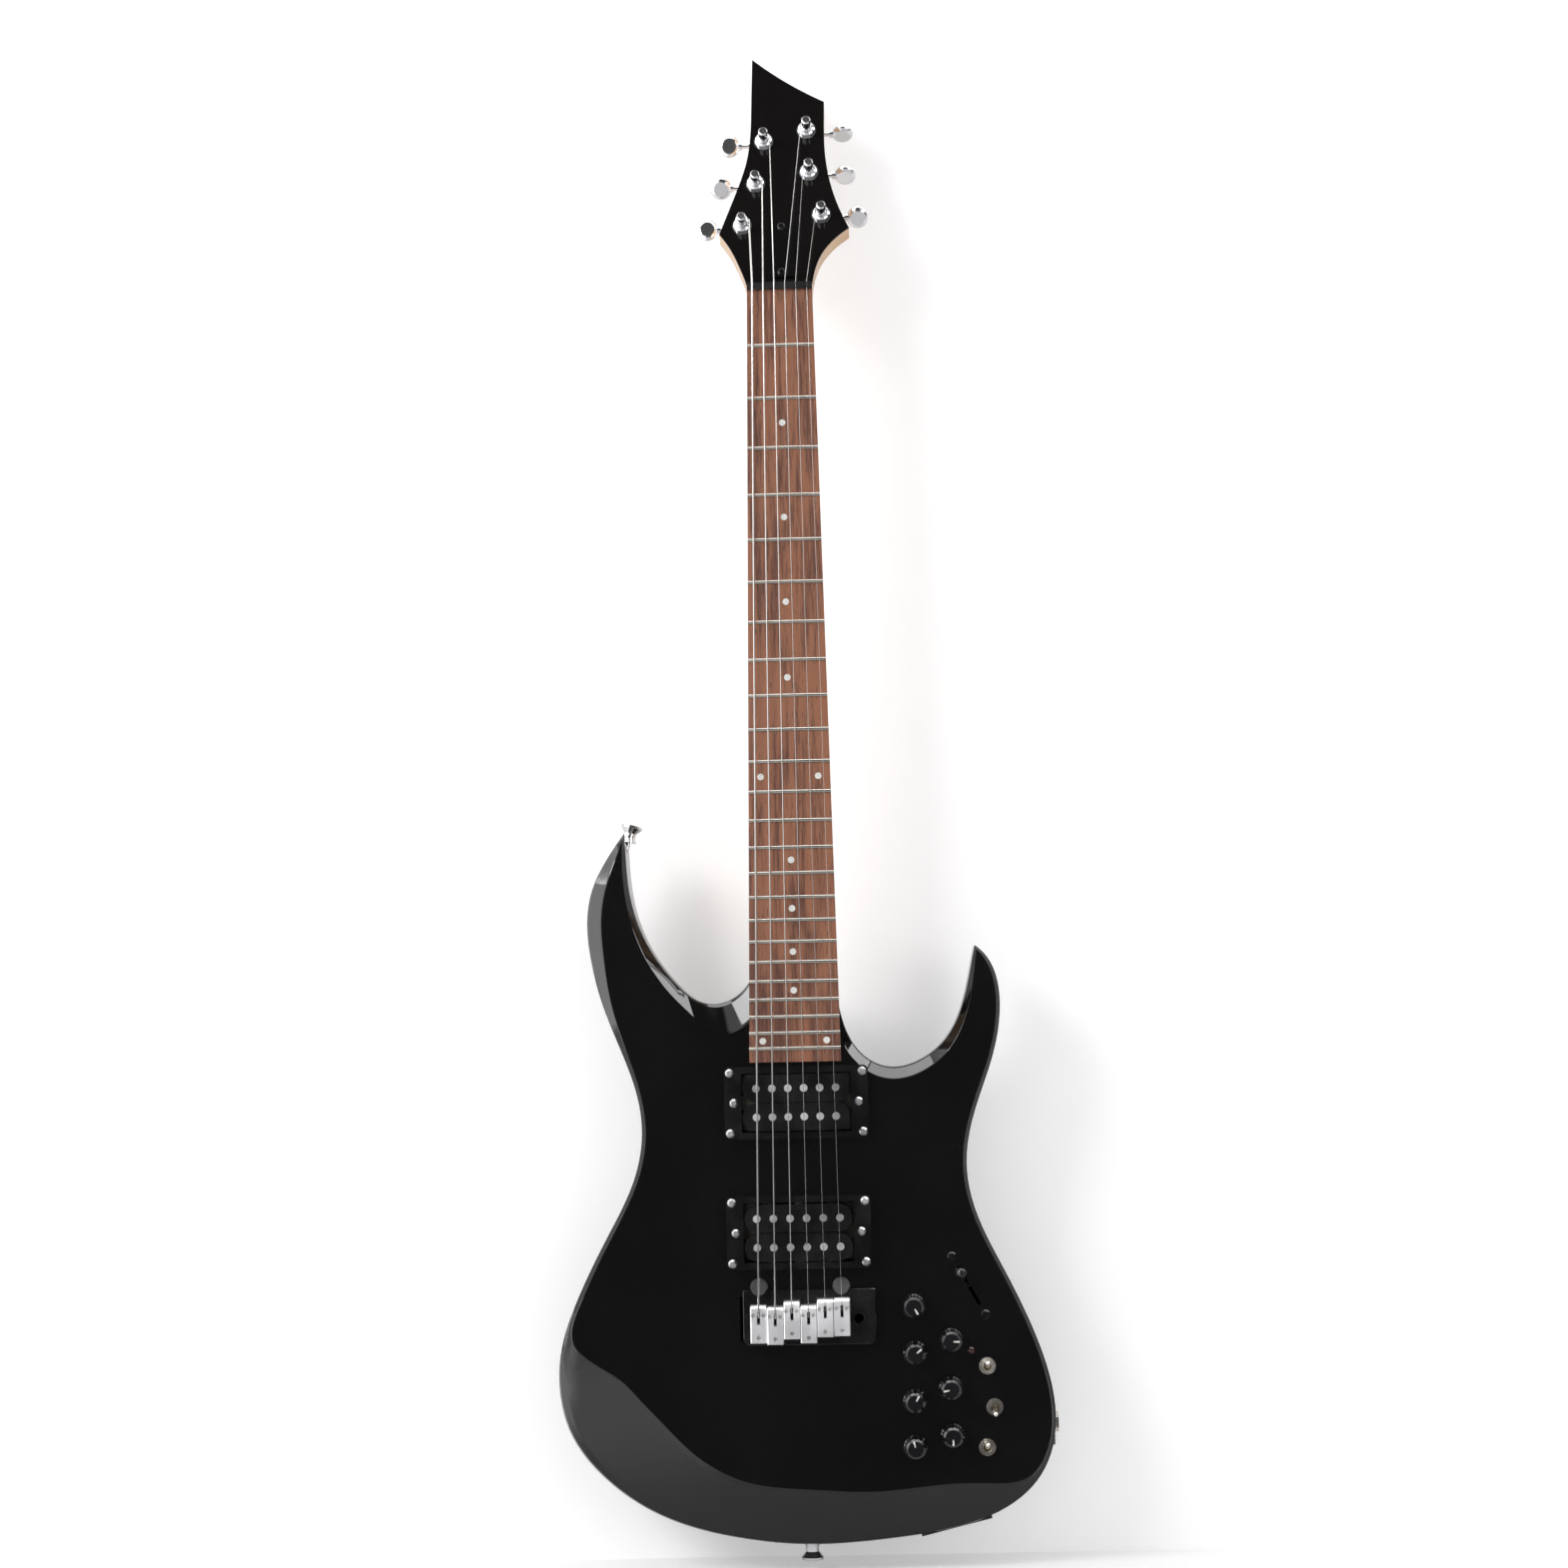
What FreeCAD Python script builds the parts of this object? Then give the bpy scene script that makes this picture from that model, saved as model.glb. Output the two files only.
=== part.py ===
import FreeCAD, Part
import math
import os
import re

import Sketcher

from FreeCAD import Placement, Rotation, Vector

# Electric guitar with a bolt-on neck, two humbuckers and a two-point tremolo, in millimetres.
# X runs towards the treble side, Y from the playing face to the back, Z up the neck.
# The origin is on the centreline, at the nut line, level with the body's top face.

# Driving sizes: alias -> value. Every other size and place follows from these.
SIZES = {
    "scale_length": 648.0, "nut_width": 42.0, "board_end_width": 57.6, "board_thick": 6.0,
    "board_proud": 9.5, "board_radius": 350.0, "board_overhang": 8.5,
    "neck_thick": 14.5, "neck_growth": 1.5, "heel_depth": 16.0, "heel_length": 54.0,
    "fret_width": 2.4, "fret_height": 1.1, "tang_width": 0.6, "tang_depth": 2.2,
    "dot_radius": 2.1, "dot_depth": 1.6, "nut_thick": 4.6, "nut_rise": 0.9,
    "string_pitch_nut": 7.0, "string_pitch_saddle": 10.4, "string_clear_nut": 0.45,
    "string_clear_saddle": 3.2,
    "head_tilt": 13.0, "head_thick": 14.5, "veneer_thick": 1.0,
    "post_radius": 3.0, "post_rise": 13.0, "gear_radius": 5.2, "gear_thick": 3.4,
    "worm_radius": 2.6, "worm_length": 8.0, "worm_offset": 8.0, "key_reach": 24.5,
    "key_shaft_radius": 1.6, "bushing_radius": 5.2, "bushing_flange": 5.8, "bushing_rise": 2.2,
    "housing_wall": 1.2, "housing_width": 16.0, "housing_thick": 9.4, "running_gap": 0.06,
    "body_depth": 43.0,
    "ring_width": 90.6, "ring_height": 45.4, "ring_corner": 3.0, "ring_window_width": 69.0,
    "ring_window_height": 37.2, "neck_ring_thick": 4.0, "bridge_ring_thick": 6.0,
    "ring_screw_x": 41.8, "ring_screw_z": 18.9, "height_screw_x": 39.3,
    "neck_pickup_z": -519.8, "bridge_pickup_z": -600.8, "bobbin_width": 67.4, "bobbin_height": 17.4,
    "bobbin_depth": 12.0, "bobbin_proud": 4.2, "coil_gap": 0.5, "baseplate_thick": 1.6,
    "baseplate_ear": 9.4, "pole_radius": 2.4, "pole_proud": 0.6, "neck_pole_pitch": 10.0,
    "bridge_pole_pitch": 10.4, "pickup_route_depth": 24.0,
    "plate_left": -35.8, "plate_right": 47.2, "plate_front": -636.3, "plate_back": -670.6,
    "plate_corner": 5.0, "trem_plate_thick": 2.0, "plate_float": 2.5, "stud_x": 25.8,
    "stud_z": -634.8, "stud_waist": 2.6, "stud_flange": 4.7, "stud_rise": 8.0, "knife_gap": 0.4,
    "insert_radius": 5.5, "insert_length": 18.0, "stud_thread": 3.6,
    "trem_block_width": 62.0, "trem_block_front": -645.0, "trem_block_thick": 12.0, "trem_block_end": 35.0,
    "saddle_width": 10.1, "saddle_length": 23.4, "saddle_lift": 0.5, "saddle_slot": 1.9,
    "saddle_slot_length": 7.5, "saddle_crest": 4.3, "tail_step": 3.0, "ball_radius": 1.9,
    "ball_length": 3.0, "tail_bore": 2.1, "arm_x": 36.6, "arm_z": -654.6, "arm_bush_radius": 4.6,
    "arm_bore_radius": 3.0, "arm_bush_length": 15.0,
    "spring_radius": 3.9, "spring_wire": 0.8, "spring_y": 29.0, "spring_pitch_x": 20.0,
    "claw_z": -572.0, "spring_bay_depth": 21.0, "cover_thick": 2.0,
    "knob_radius": 7.4, "knob_height": 14.0, "knob_lift": 1.2, "pot_radius": 8.0, "pot_depth": 9.0,
    "pot_shaft_radius": 3.0, "pot_bushing_radius": 3.9, "panel_thick": 7.0,
    "toggle_bushing_radius": 3.0, "toggle_nut_radius": 4.9, "toggle_lever_radius": 1.5,
    "toggle_lever_length": 11.0, "toggle_rise": 4.6,
    "jack_bore_radius": 3.2, "jack_barrel_radius": 6.0, "jack_length": 26.0, "jack_flat_x": 156.2,
    "jack_z": -723.2, "strap_head_radius": 7.0, "strap_neck_radius": 4.0, "strap_length": 11.5,
    "strap_screw_radius": 1.9, "strap_screw_length": 24.0,
    "neck_plate_width": 50.0, "neck_plate_height": 50.0, "neck_plate_thick": 2.0,
    "neck_screw_spread": 19.0, "neck_screw_radius": 2.2, "neck_screw_head": 4.2,
    "small_screw_radius": 1.2, "small_screw_head": 2.6, "small_screw_length": 11.0,
}

FRETS = 24
STRINGS = 6
STRING_RADII = [0.58, 0.46, 0.33, 0.22, 0.17, 0.13]
DOT_FRETS = [3, 5, 7, 9, 15, 17, 19, 21]
DOUBLE_DOT_FRETS = [12, 24]

# The body's edge as seen from the front: x, z, width of the front bevel, drop of that bevel.
# Each stretch ends at a corner of the outline: neck corner, horn tips, heel corner.
UPPER_CUTAWAY = [
    (-27.5, -441.0, 14.0, 7.0), (-36.4, -451.7, 17.0, 8.0), (-49.5, -456.8, 19.0, 8.5),
    (-61.5, -454.6, 10.0, 7.0), (-76.0, -442.6, 7.0, 6.0), (-94.0, -416.0, 4.5, 5.0),
    (-103.8, -384.0, 3.0, 4.0), (-105.6, -362.0, 2.2, 3.5), (-106.4, -347.2, 3.0, 3.0),
]
OUTER_EDGE = [
    (-106.4, -347.2, 3.0, 3.0), (-119.0, -365.4, 6.0, 3.5), (-127.6, -382.6, 8.5, 4.5),
    (-131.2, -403.0, 9.2, 4.8), (-129.4, -426.0, 8.6, 4.8), (-121.0, -459.0, 5.4, 4.0),
    (-108.7, -490.4, 3.2, 3.5), (-100.2, -517.0, 2.6, 3.2), (-98.2, -540.0, 2.6, 3.2),
    (-103.5, -566.5, 2.6, 3.2), (-121.9, -603.9, 2.6, 3.2), (-140.6, -641.3, 3.0, 3.6),
    (-149.8, -666.0, 7.0, 5.0), (-152.0, -675.0, 19.0, 7.0), (-153.6, -692.0, 39.6, 10.5),
    (-147.4, -724.0, 48.5, 12.5), (-127.0, -752.0, 50.0, 12.5), (-88.0, -778.0, 44.0, 11.5),
    (-41.0, -791.0, 35.0, 10.0), (4.0, -795.5, 34.0, 9.5), (48.0, -793.0, 30.0, 8.5),
    (90.0, -787.0, 28.0, 8.0), (122.0, -776.3, 20.0, 6.5), (144.6, -758.5, 6.0, 4.5),
    (155.0, -739.0, 3.2, 3.6),
    (158.0, -716.0, 2.6, 3.2), (155.6, -696.0, 2.6, 3.2), (145.9, -665.0, 2.6, 3.2),
    (128.7, -627.4, 2.6, 3.2), (111.3, -589.4, 2.6, 3.2), (106.4, -560.0, 2.6, 3.2),
    (113.5, -524.0, 2.6, 3.2), (123.9, -495.0, 2.6, 3.2), (129.7, -466.0, 2.6, 3.2),
    (129.4, -450.0, 2.6, 3.2), (125.4, -435.5, 2.4, 3.2), (114.8, -423.0, 3.0, 3.0),
]
LOWER_CUTAWAY = [
    (114.8, -423.0, 3.0, 3.0), (110.2, -445.0, 3.0, 4.0), (105.2, -463.0, 4.0, 5.0),
    (95.0, -481.8, 5.5, 5.5), (77.5, -495.2, 7.0, 6.0), (60.3, -498.8, 7.5, 6.0),
    (43.4, -491.5, 6.5, 5.5), (33.0, -476.7, 4.5, 5.0), (28.2, -460.0, 3.0, 4.0),
    (25.5, -441.5, 3.0, 4.0),
]
HEEL_LINE = [(25.5, -441.5, 3.0, 4.0), (-27.5, -441.0, 14.0, 7.0)]
BACK_BEVEL = 5.0

# Cross-section of a body edge, as shares of the bevel's width and drop: inset, depth.
FRONT_EDGE = [(1.04, 0.0), (0.96, 0.06), (0.12, 0.86), (0.03, 1.0), (0.0, 1.35)]
BACK_EDGE = [(0.0, 1.35), (0.1, 0.75), (0.35, 0.32), (0.65, 0.08), (1.0, 0.0)]

# Headstock outline on its tilted face: x, distance up the face from the nut line.
HEAD_LEFT = [(-21.0, -6.0), (-21.0, 3.0), (-24.6, 15.0), (-30.6, 29.5), (-38.8, 42.6)]
HEAD_LEFT_WING = [(-38.8, 42.6), (-33.2, 57.5), (-26.4, 76.0), (-20.6, 95.0), (-18.0, 113.0), (-17.2, 131.0)]
HEAD_TIP = (-16.1, 171.7)
HEAD_TOP = [(-16.1, 171.7), (8.0, 152.6), (31.0, 138.5)]
HEAD_RIGHT_WING = [(31.0, 138.5), (30.6, 121.0), (30.8, 103.0), (33.3, 82.0), (38.6, 62.0), (45.6, 45.1)]
HEAD_RIGHT = [(45.6, 45.1), (35.6, 37.0), (27.0, 25.6), (22.4, 12.5), (21.0, 3.0), (21.0, -6.0)]

# Tuning machines: post x, post distance up the face, side (-1 bass, +1 treble), rest turn of the key.
TUNERS = [
    (-23.9, 48.3, -1, -5.0), (-14.8, 78.7, -1, -42.0), (-9.2, 110.0, -1, -20.0),
    (19.0, 117.5, 1, 78.0), (20.1, 86.4, 1, 70.0), (27.7, 55.0, 1, 52.0),
]
TRUSS_COVER = [(-7.5, 10.0), (10.5, 10.0), (8.5, 50.0), (-5.5, 50.0)]

# Controls on the face: x, z, and for the knobs the angle of the pointer at rest (clockwise from up).
KNOBS = [
    (70.7, -647.8, 150.0), (71.0, -676.7, 50.0), (93.6, -669.3, 90.0), (70.3, -706.4, 30.0),
    (92.8, -698.8, 260.0), (70.0, -734.6, 345.0), (93.2, -727.9, 180.0),
]
TOGGLES = [(115.9, -685.8), (119.9, -711.1), (114.6, -735.8)]
LED = (106.1, -676.0)
SELECTOR_ENDS = [(95.4, -617.8), (115.7, -654.0)]
CONTROL_BAY = [(60, -632), (84, -609), (101, -609), (116, -626), (133, -664), (143, -700), (143, -726),
               (133, -745), (60, -748)]
SADDLE_FRONTS = [-645.1, -646.0, -642.7, -645.4, -641.8, -641.4]

TURNS = {
    "+Z": Rotation(), "-Z": Rotation(Vector(1, 0, 0), 180),
    "+Y": Rotation(Vector(1, 0, 0), -90), "-Y": Rotation(Vector(1, 0, 0), 90),
    "+X": Rotation(Vector(0, 1, 0), 90), "-X": Rotation(Vector(0, 1, 0), -90),
}

doc = FreeCAD.newDocument("electric_guitar")
sheet = doc.addObject("Spreadsheet::Sheet", "sizes")
pieces = {}


def fill_sheet():
    for row, (alias, value) in enumerate(SIZES.items(), start=1):
        sheet.set(f"A{row}", alias)
        sheet.set(f"B{row}", str(value))
        sheet.setAlias(f"B{row}", alias)
    doc.recompute()


def size(alias):
    return float(sheet.get(alias))


def bind(item, **expressions):
    """Tie properties of an object to cells; $word stands for the cell with that alias."""
    for prop, expression in expressions.items():
        item.setExpression(prop.replace("__", "."), re.sub(r"\$(\w+)", r"sizes.\1", str(expression)))


def place(item, at, turn=None):
    if turn is not None:
        item.Placement = Placement(Vector(), turn)
    bind(item, Placement__Base__x=at[0], Placement__Base__y=at[1], Placement__Base__z=at[2])
    return item


def rod(name, radius, length, start, toward="+Y"):
    item = doc.addObject("Part::Cylinder", name)
    bind(item, Radius=radius, Height=length)
    return place(item, start, TURNS[toward])


def cone(name, start_radius, end_radius, length, start, toward="+Y"):
    item = doc.addObject("Part::Cone", name)
    bind(item, Radius1=start_radius, Radius2=end_radius, Height=length)
    return place(item, start, TURNS[toward])


def block(name, spans, low):
    item = doc.addObject("Part::Box", name)
    bind(item, Length=spans[0], Width=spans[1], Height=spans[2])
    return place(item, low, Rotation())


def solid(name, shape, placement=None):
    item = doc.addObject("Part::Feature", name)
    item.Shape = shape
    if placement is not None:
        item.Placement = placement
    return item


def fuse(name, items):
    if len(items) == 1:
        return items[0]
    item = doc.addObject("Part::MultiFuse", name)
    item.Shapes = items
    return item


def cut(name, base, tools):
    item = doc.addObject("Part::Cut", name)
    item.Base = base
    item.Tool = fuse(name + "_tools", tools)
    return item


def group(name, items):
    item = doc.addObject("Part::Compound", name)
    item.Links = items
    return item


def keep(label, item):
    item.Label = label
    pieces[label] = item
    return item


# ---- shared geometry -------------------------------------------------------------------------

def spline(points):
    curve = Part.BSplineCurve()
    curve.interpolate([Vector(*point) for point in points])
    return curve


def board_half_width(z):
    """Half the fretboard's width at a height z; the taper runs from the nut to the board's end."""
    share = -z / board_length()
    return (size("nut_width") + (size("board_end_width") - size("nut_width")) * share) / 2


def fret_z(number):
    return -size("scale_length") * (1 - 2 ** (-number / 12))


def board_length():
    return -fret_z(FRETS) + size("board_overhang")


def board_face_y(x):
    """Height of the fretboard's cambered face at x."""
    radius = size("board_radius")
    return -size("board_proud") + radius - math.sqrt(radius ** 2 - x ** 2)


def board_back_y():
    return size("board_thick") - size("board_proud")


def string_x(number, pitch):
    return (number - (STRINGS - 1) / 2) * size(pitch)


def nut_point(number):
    x = string_x(number, "string_pitch_nut")
    clear = size("fret_height") + size("string_clear_nut") + STRING_RADII[number]
    return Vector(x, board_face_y(x) - clear, size("nut_thick"))


def saddle_point(number):
    """The string's centre where it leaves the crest of its saddle."""
    x = string_x(number, "string_pitch_saddle")
    clear = size("fret_height") + size("string_clear_saddle") + STRING_RADII[number]
    return Vector(x, board_face_y(x) - clear, SADDLE_FRONTS[number] - size("saddle_crest"))


def head_point(x, up, behind=0.0):
    """A point on the headstock: x, distance up its face, depth behind the face."""
    tilt = math.radians(size("head_tilt"))
    y = board_back_y() + up * math.sin(tilt) + behind * math.cos(tilt)
    return Vector(x, y, up * math.cos(tilt) - behind * math.sin(tilt))


def head_placement(x, up):
    """A frame on the headstock's face: local X across, local Y up the face, local Z out of it."""
    return Placement(head_point(x, up), Rotation(Vector(1, 0, 0), 90 - size("head_tilt")))


def head_outline(low_up=None):
    """The headstock's edge in its own plane, closed across the bottom; low_up trims it there."""
    edges = [
        spline([(x, up, 0) for x, up in HEAD_LEFT]).toShape(),
        spline([(x, up, 0) for x, up in HEAD_LEFT_WING]).toShape(),
        Part.makeLine(Vector(*HEAD_LEFT_WING[-1], 0), Vector(*HEAD_TIP, 0)),
        spline([(x, up, 0) for x, up in HEAD_TOP]).toShape(),
        spline([(x, up, 0) for x, up in HEAD_RIGHT_WING]).toShape(),
        spline([(x, up, 0) for x, up in HEAD_RIGHT]).toShape(),
        Part.makeLine(Vector(*HEAD_RIGHT[-1], 0), Vector(*HEAD_LEFT[0], 0)),
    ]
    face = Part.Face(Part.Wire(edges))
    if low_up is None:
        return face
    reach = 100.0
    return face.cut(Part.makePlane(2 * reach, reach, Vector(-reach, low_up - reach, 0)))


# ---- body ------------------------------------------------------------------------------------

def outward(stretch):
    """Unit normals at the points of one stretch of the outline."""
    curve = spline([(x, 0, z) for x, z, _, _ in stretch])
    normals = []
    for x, z, _, _ in stretch:
        tangent = curve.tangent(curve.parameter(Vector(x, 0, z)))[0]
        normals.append(Vector(tangent.z, 0, -tangent.x).normalize())
    return normals


def body_section(stretches, normals, inset_share, depth_share, front):
    """One closed section of the body's edge, moved in and down by shares of the local bevel."""
    wires = []
    for stretch, sides in zip(stretches, normals):
        points = []
        for (x, z, width, drop), side in zip(stretch, sides):
            inset = inset_share * (width if front else BACK_BEVEL * min(1.0, width / BACK_BEVEL))
            depth = depth_share * drop if front else size("body_depth") - depth_share * BACK_BEVEL
            points.append((x - side.x * inset, depth, z - side.z * inset))
        wires.append(spline(points).toShape())
    return Part.Wire(wires)


def body_blank():
    """The bare body: outline sections lofted from the front face over both bevels to the back."""
    stretches = [UPPER_CUTAWAY, OUTER_EDGE, LOWER_CUTAWAY, HEEL_LINE]
    normals = [outward(stretch) for stretch in stretches]
    for index in range(len(stretches)):
        after = (index + 1) % len(stretches)
        corner = (normals[index][-1] + normals[after][0]).normalize()
        normals[index][-1] = corner
        normals[after][0] = corner
    sections = [body_section(stretches, normals, *share, True) for share in FRONT_EDGE]
    sections += [body_section(stretches, normals, *share, False) for share in BACK_EDGE]
    return Part.makeLoft(sections, True, True)


def selector_angle():
    (x0, z0), (x1, z1) = SELECTOR_ENDS
    return math.degrees(math.atan2(z1 - z0, x1 - x0))


def selector_centre():
    (x0, z0), (x1, z1) = SELECTOR_ENDS
    return (x0 + x1) / 2, (z0 + z1) / 2


def bay_face(grow, y):
    """The control bay's outline, with its corners rounded, grown outwards, at a depth y."""
    corner = 8.0
    points = [Vector(x, y, z) for x, z in CONTROL_BAY]
    prism = Part.Face(Part.makePolygon(points + points[:1])).extrude(Vector(0, 1, 0))
    upright = [edge for edge in prism.Edges if abs(edge.tangentAt(edge.FirstParameter).y) > 0.99]
    rounded = prism.makeFillet(corner, upright)
    outline = min((face for face in rounded.Faces if abs(face.normalAt(0, 0).y) > 0.99),
                  key=lambda face: abs(face.CenterOfMass.y - y))
    return Part.Face(outline.OuterWire.makeOffset2D(grow)) if grow else outline


def plate_recess(name, centre_x, centre_z, width, height):
    """A shallow seat in the body's back for a rectangular cover plate."""
    return block(name, (width, "$cover_thick", height),
                 (f"{centre_x} - ({width}) / 2", "$body_depth - $cover_thick",
                  f"{centre_z} - ({height}) / 2"))


def pickup_route(name, z):
    return [
        block(name + "_route", ("$ring_window_width + 1", "$pickup_route_depth", "$ring_window_height + 1"),
              ("-($ring_window_width + 1) / 2", "0", f"{z} - ($ring_window_height + 1) / 2")),
        block(name + "_ear_route", ("2 * $height_screw_x + 9", "$pickup_route_depth", "14"),
              ("-$height_screw_x - 4.5", "0", f"{z} - 7")),
    ]


def ring_screw_spots():
    spots = []
    for ring in ("neck", "bridge"):
        for side in (-1, 1):
            for end in (-1, 1):
                spots.append((ring, f"{side} * $ring_screw_x", f"${ring}_pickup_z + {end} * $ring_screw_z"))
    return spots


def height_screw_spots():
    return [(ring, f"{side} * $height_screw_x", f"${ring}_pickup_z")
            for ring in ("neck", "bridge") for side in (-1, 1)]


TREM_COVER = {"x": 0.0, "z": -617.0, "width": 92.0, "height": 134.0}
TREM_COVER_SCREWS = [(side * 42.0, -617.0 + end * 62.0) for side in (-1, 1) for end in (-1, 0, 1)]
BAY_COVER_SCREWS = [(63.0, -635.0), (108.0, -616.0), (139.5, -690.0), (132.5, -741.0), (62.8, -746.2)]
BAY_SCREW_PADS = 5.0
RIM_PLATE = {"x": 94.7, "z": -784.9, "length": 46.0, "height": 18.0, "angle": 13.5, "thick": 1.6}


def bay_cavity():
    """The control bay: cut from the back up to the panel, less a post of wood at each cover screw."""
    top = size("panel_thick")
    depth = size("body_depth") - top
    room = solid("bay_room", bay_face(0.0, top).extrude(Vector(0, depth, 0)))
    posts = [rod(f"bay_post_{i}", BAY_SCREW_PADS, "$body_depth - $cover_thick - $panel_thick",
                 (x, "$panel_thick", z)) for i, (x, z) in enumerate(BAY_COVER_SCREWS)]
    seat = solid("bay_seat", bay_face(3.0, size("body_depth") - size("cover_thick"))
                 .extrude(Vector(0, size("cover_thick"), 0)))
    return [cut("bay_cut", room, posts), seat]


def rim_frame():
    """Placement of the plate let into the lower rim: local X along the rim, local Z out of it."""
    return Placement(Vector(RIM_PLATE["x"], size("body_depth") / 2, RIM_PLATE["z"]),
                     Rotation(Vector(0, 1, 0), -RIM_PLATE["angle"]) * Rotation(Vector(1, 0, 0), 180))


def make_body():
    """The body with every recess, bore and screw hole that its fittings need."""
    small = "$small_screw_radius"
    tools = [solid("neck_pocket", heel_block())]
    tools += pickup_route("neck_pickup", "$neck_pickup_z") + pickup_route("bridge_pickup", "$bridge_pickup_z")
    tools.append(block("trem_route", ("82", "$body_depth", "27"), ("-38", "0", "-667.5")))
    tools.append(block("spring_bay", ("66", "$spring_bay_depth", "118"),
                       ("-33", "$body_depth - $spring_bay_depth", "-675")))
    tools.append(plate_recess("spring_cover_seat", TREM_COVER["x"], TREM_COVER["z"], TREM_COVER["width"],
                              TREM_COVER["height"]))
    tools += bay_cavity()
    for side in (-1, 1):
        tools.append(rod(f"insert_bore_{side}", "$insert_radius", "$insert_length",
                         (f"{side} * $stud_x", "0", "$stud_z")))
        tools.append(rod(f"claw_screw_bore_{side}", 1.6, 34, (f"{side} * 15", "$spring_y", "-558"), "+Z"))
        for end in (-1, 1):
            tools.append(rod(f"neck_screw_bore_{side}_{end}", "$neck_screw_radius", "$body_depth",
                             (f"{side} * $neck_screw_spread", "0",
                              f"{neck_plate_z()} + {end} * $neck_screw_spread")))
    for i, (ring, x, z) in enumerate(ring_screw_spots()):
        tools.append(rod(f"ring_screw_bore_{i}", small, "12", (x, "0", z)))
    for i, (x, z) in enumerate(TREM_COVER_SCREWS + BAY_COVER_SCREWS):
        tools.append(rod(f"cover_screw_bore_{i}", small, "$small_screw_length - $cover_thick + 1",
                         (x, "$body_depth - $cover_thick", z), "-Y"))
    for i, (x, z, _) in enumerate(KNOBS):
        tools.append(rod(f"pot_bore_{i}", "$pot_bushing_radius", "$panel_thick", (x, "0", z)))
    for i, (x, z) in enumerate(TOGGLES):
        tools.append(rod(f"toggle_bore_{i}", "$toggle_bushing_radius", "$panel_thick", (x, "0", z)))
    tools.append(rod("led_bore", 2.5, "$panel_thick", (LED[0], "0", LED[1])))
    tools += selector_openings()
    tools.append(rod("jack_bore", "$jack_barrel_radius", 30,
                     ("$jack_flat_x", "$body_depth / 2", "$jack_z"), "-X"))
    tools.append(block("jack_flat", (20, 15, 28),
                       ("$jack_flat_x", "$body_depth / 2 - 7.5", "$jack_z - 14")))
    for end in (-1, 1):
        tools.append(rod(f"jack_screw_bore_{end}", small, 10,
                         ("$jack_flat_x", "$body_depth / 2", f"$jack_z + {end} * 9.4"), "-X"))
    tools.append(solid("rim_plate_seat", Part.makeBox(
        RIM_PLATE["length"], RIM_PLATE["height"], 20.0,
        Vector(-RIM_PLATE["length"] / 2, -RIM_PLATE["height"] / 2, 0)), rim_frame()))
    for end in (-1, 1):
        tools.append(solid(f"rim_screw_bore_{end}", Part.makeCylinder(
            size("small_screw_radius"), 10.0, Vector(end * 19.0, 0, 0), Vector(0, 0, -1)), rim_frame()))
    for i, (at, toward) in enumerate(strap_spots()):
        tools.append(solid(f"strap_seat_{i}", Part.makeCylinder(
            size("strap_head_radius"), 12.0, at, toward)))
        tools.append(solid(f"strap_screw_bore_{i}", Part.makeCylinder(
            size("strap_screw_radius"), size("strap_screw_length"), at, toward * -1)))
    tools.append(rod("pickup_wire_bore", 3, 24, (42, 15, "$bridge_pickup_z - 15"), "+X"))
    blank = solid("body_blank", body_blank())
    return keep("body", cut("body_cut", blank, tools))


def strap_spots():
    """Seat and outward direction of each strap button: upper horn, then bottom of the body."""
    middle = size("body_depth") / 2
    horn = Vector(0.27, 0, 1).normalize()
    return [(Vector(-105.4, middle, -352.0), horn), (Vector(4.0, middle, -795.0), Vector(0, 0, -1))]


def neck_plate_z():
    return -board_length() + 25.5


# ---- neck ------------------------------------------------------------------------------------

def neck_section(z, depth, fullness):
    """A closed section across the neck: flat under the fretboard, rounded behind."""
    half = board_half_width(z)
    top = board_back_y()
    points = []
    for step in range(13):
        angle = math.pi * step / 12
        x = half * math.copysign(abs(math.cos(angle)) ** fullness, math.cos(angle))
        points.append((x, top + depth * round(math.sin(angle), 9) ** fullness, z))
    return Part.Wire([spline(points).toShape(),
                      Part.makeLine(Vector(-half, top, z), Vector(half, top, z))])


def heel_block():
    """The squared end of the neck that lies in the body's pocket."""
    end, start = -board_length(), -board_length() + size("heel_length")
    top, bottom = board_back_y(), size("heel_depth")
    corners = []
    for z in (end, start):
        half = board_half_width(z)
        section = [Vector(-half, top, z), Vector(half, top, z), Vector(half, bottom, z), Vector(-half, bottom, z)]
        corners.append(Part.makePolygon(section + section[:1]))
    return Part.makeLoft(corners, True, True)


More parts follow.
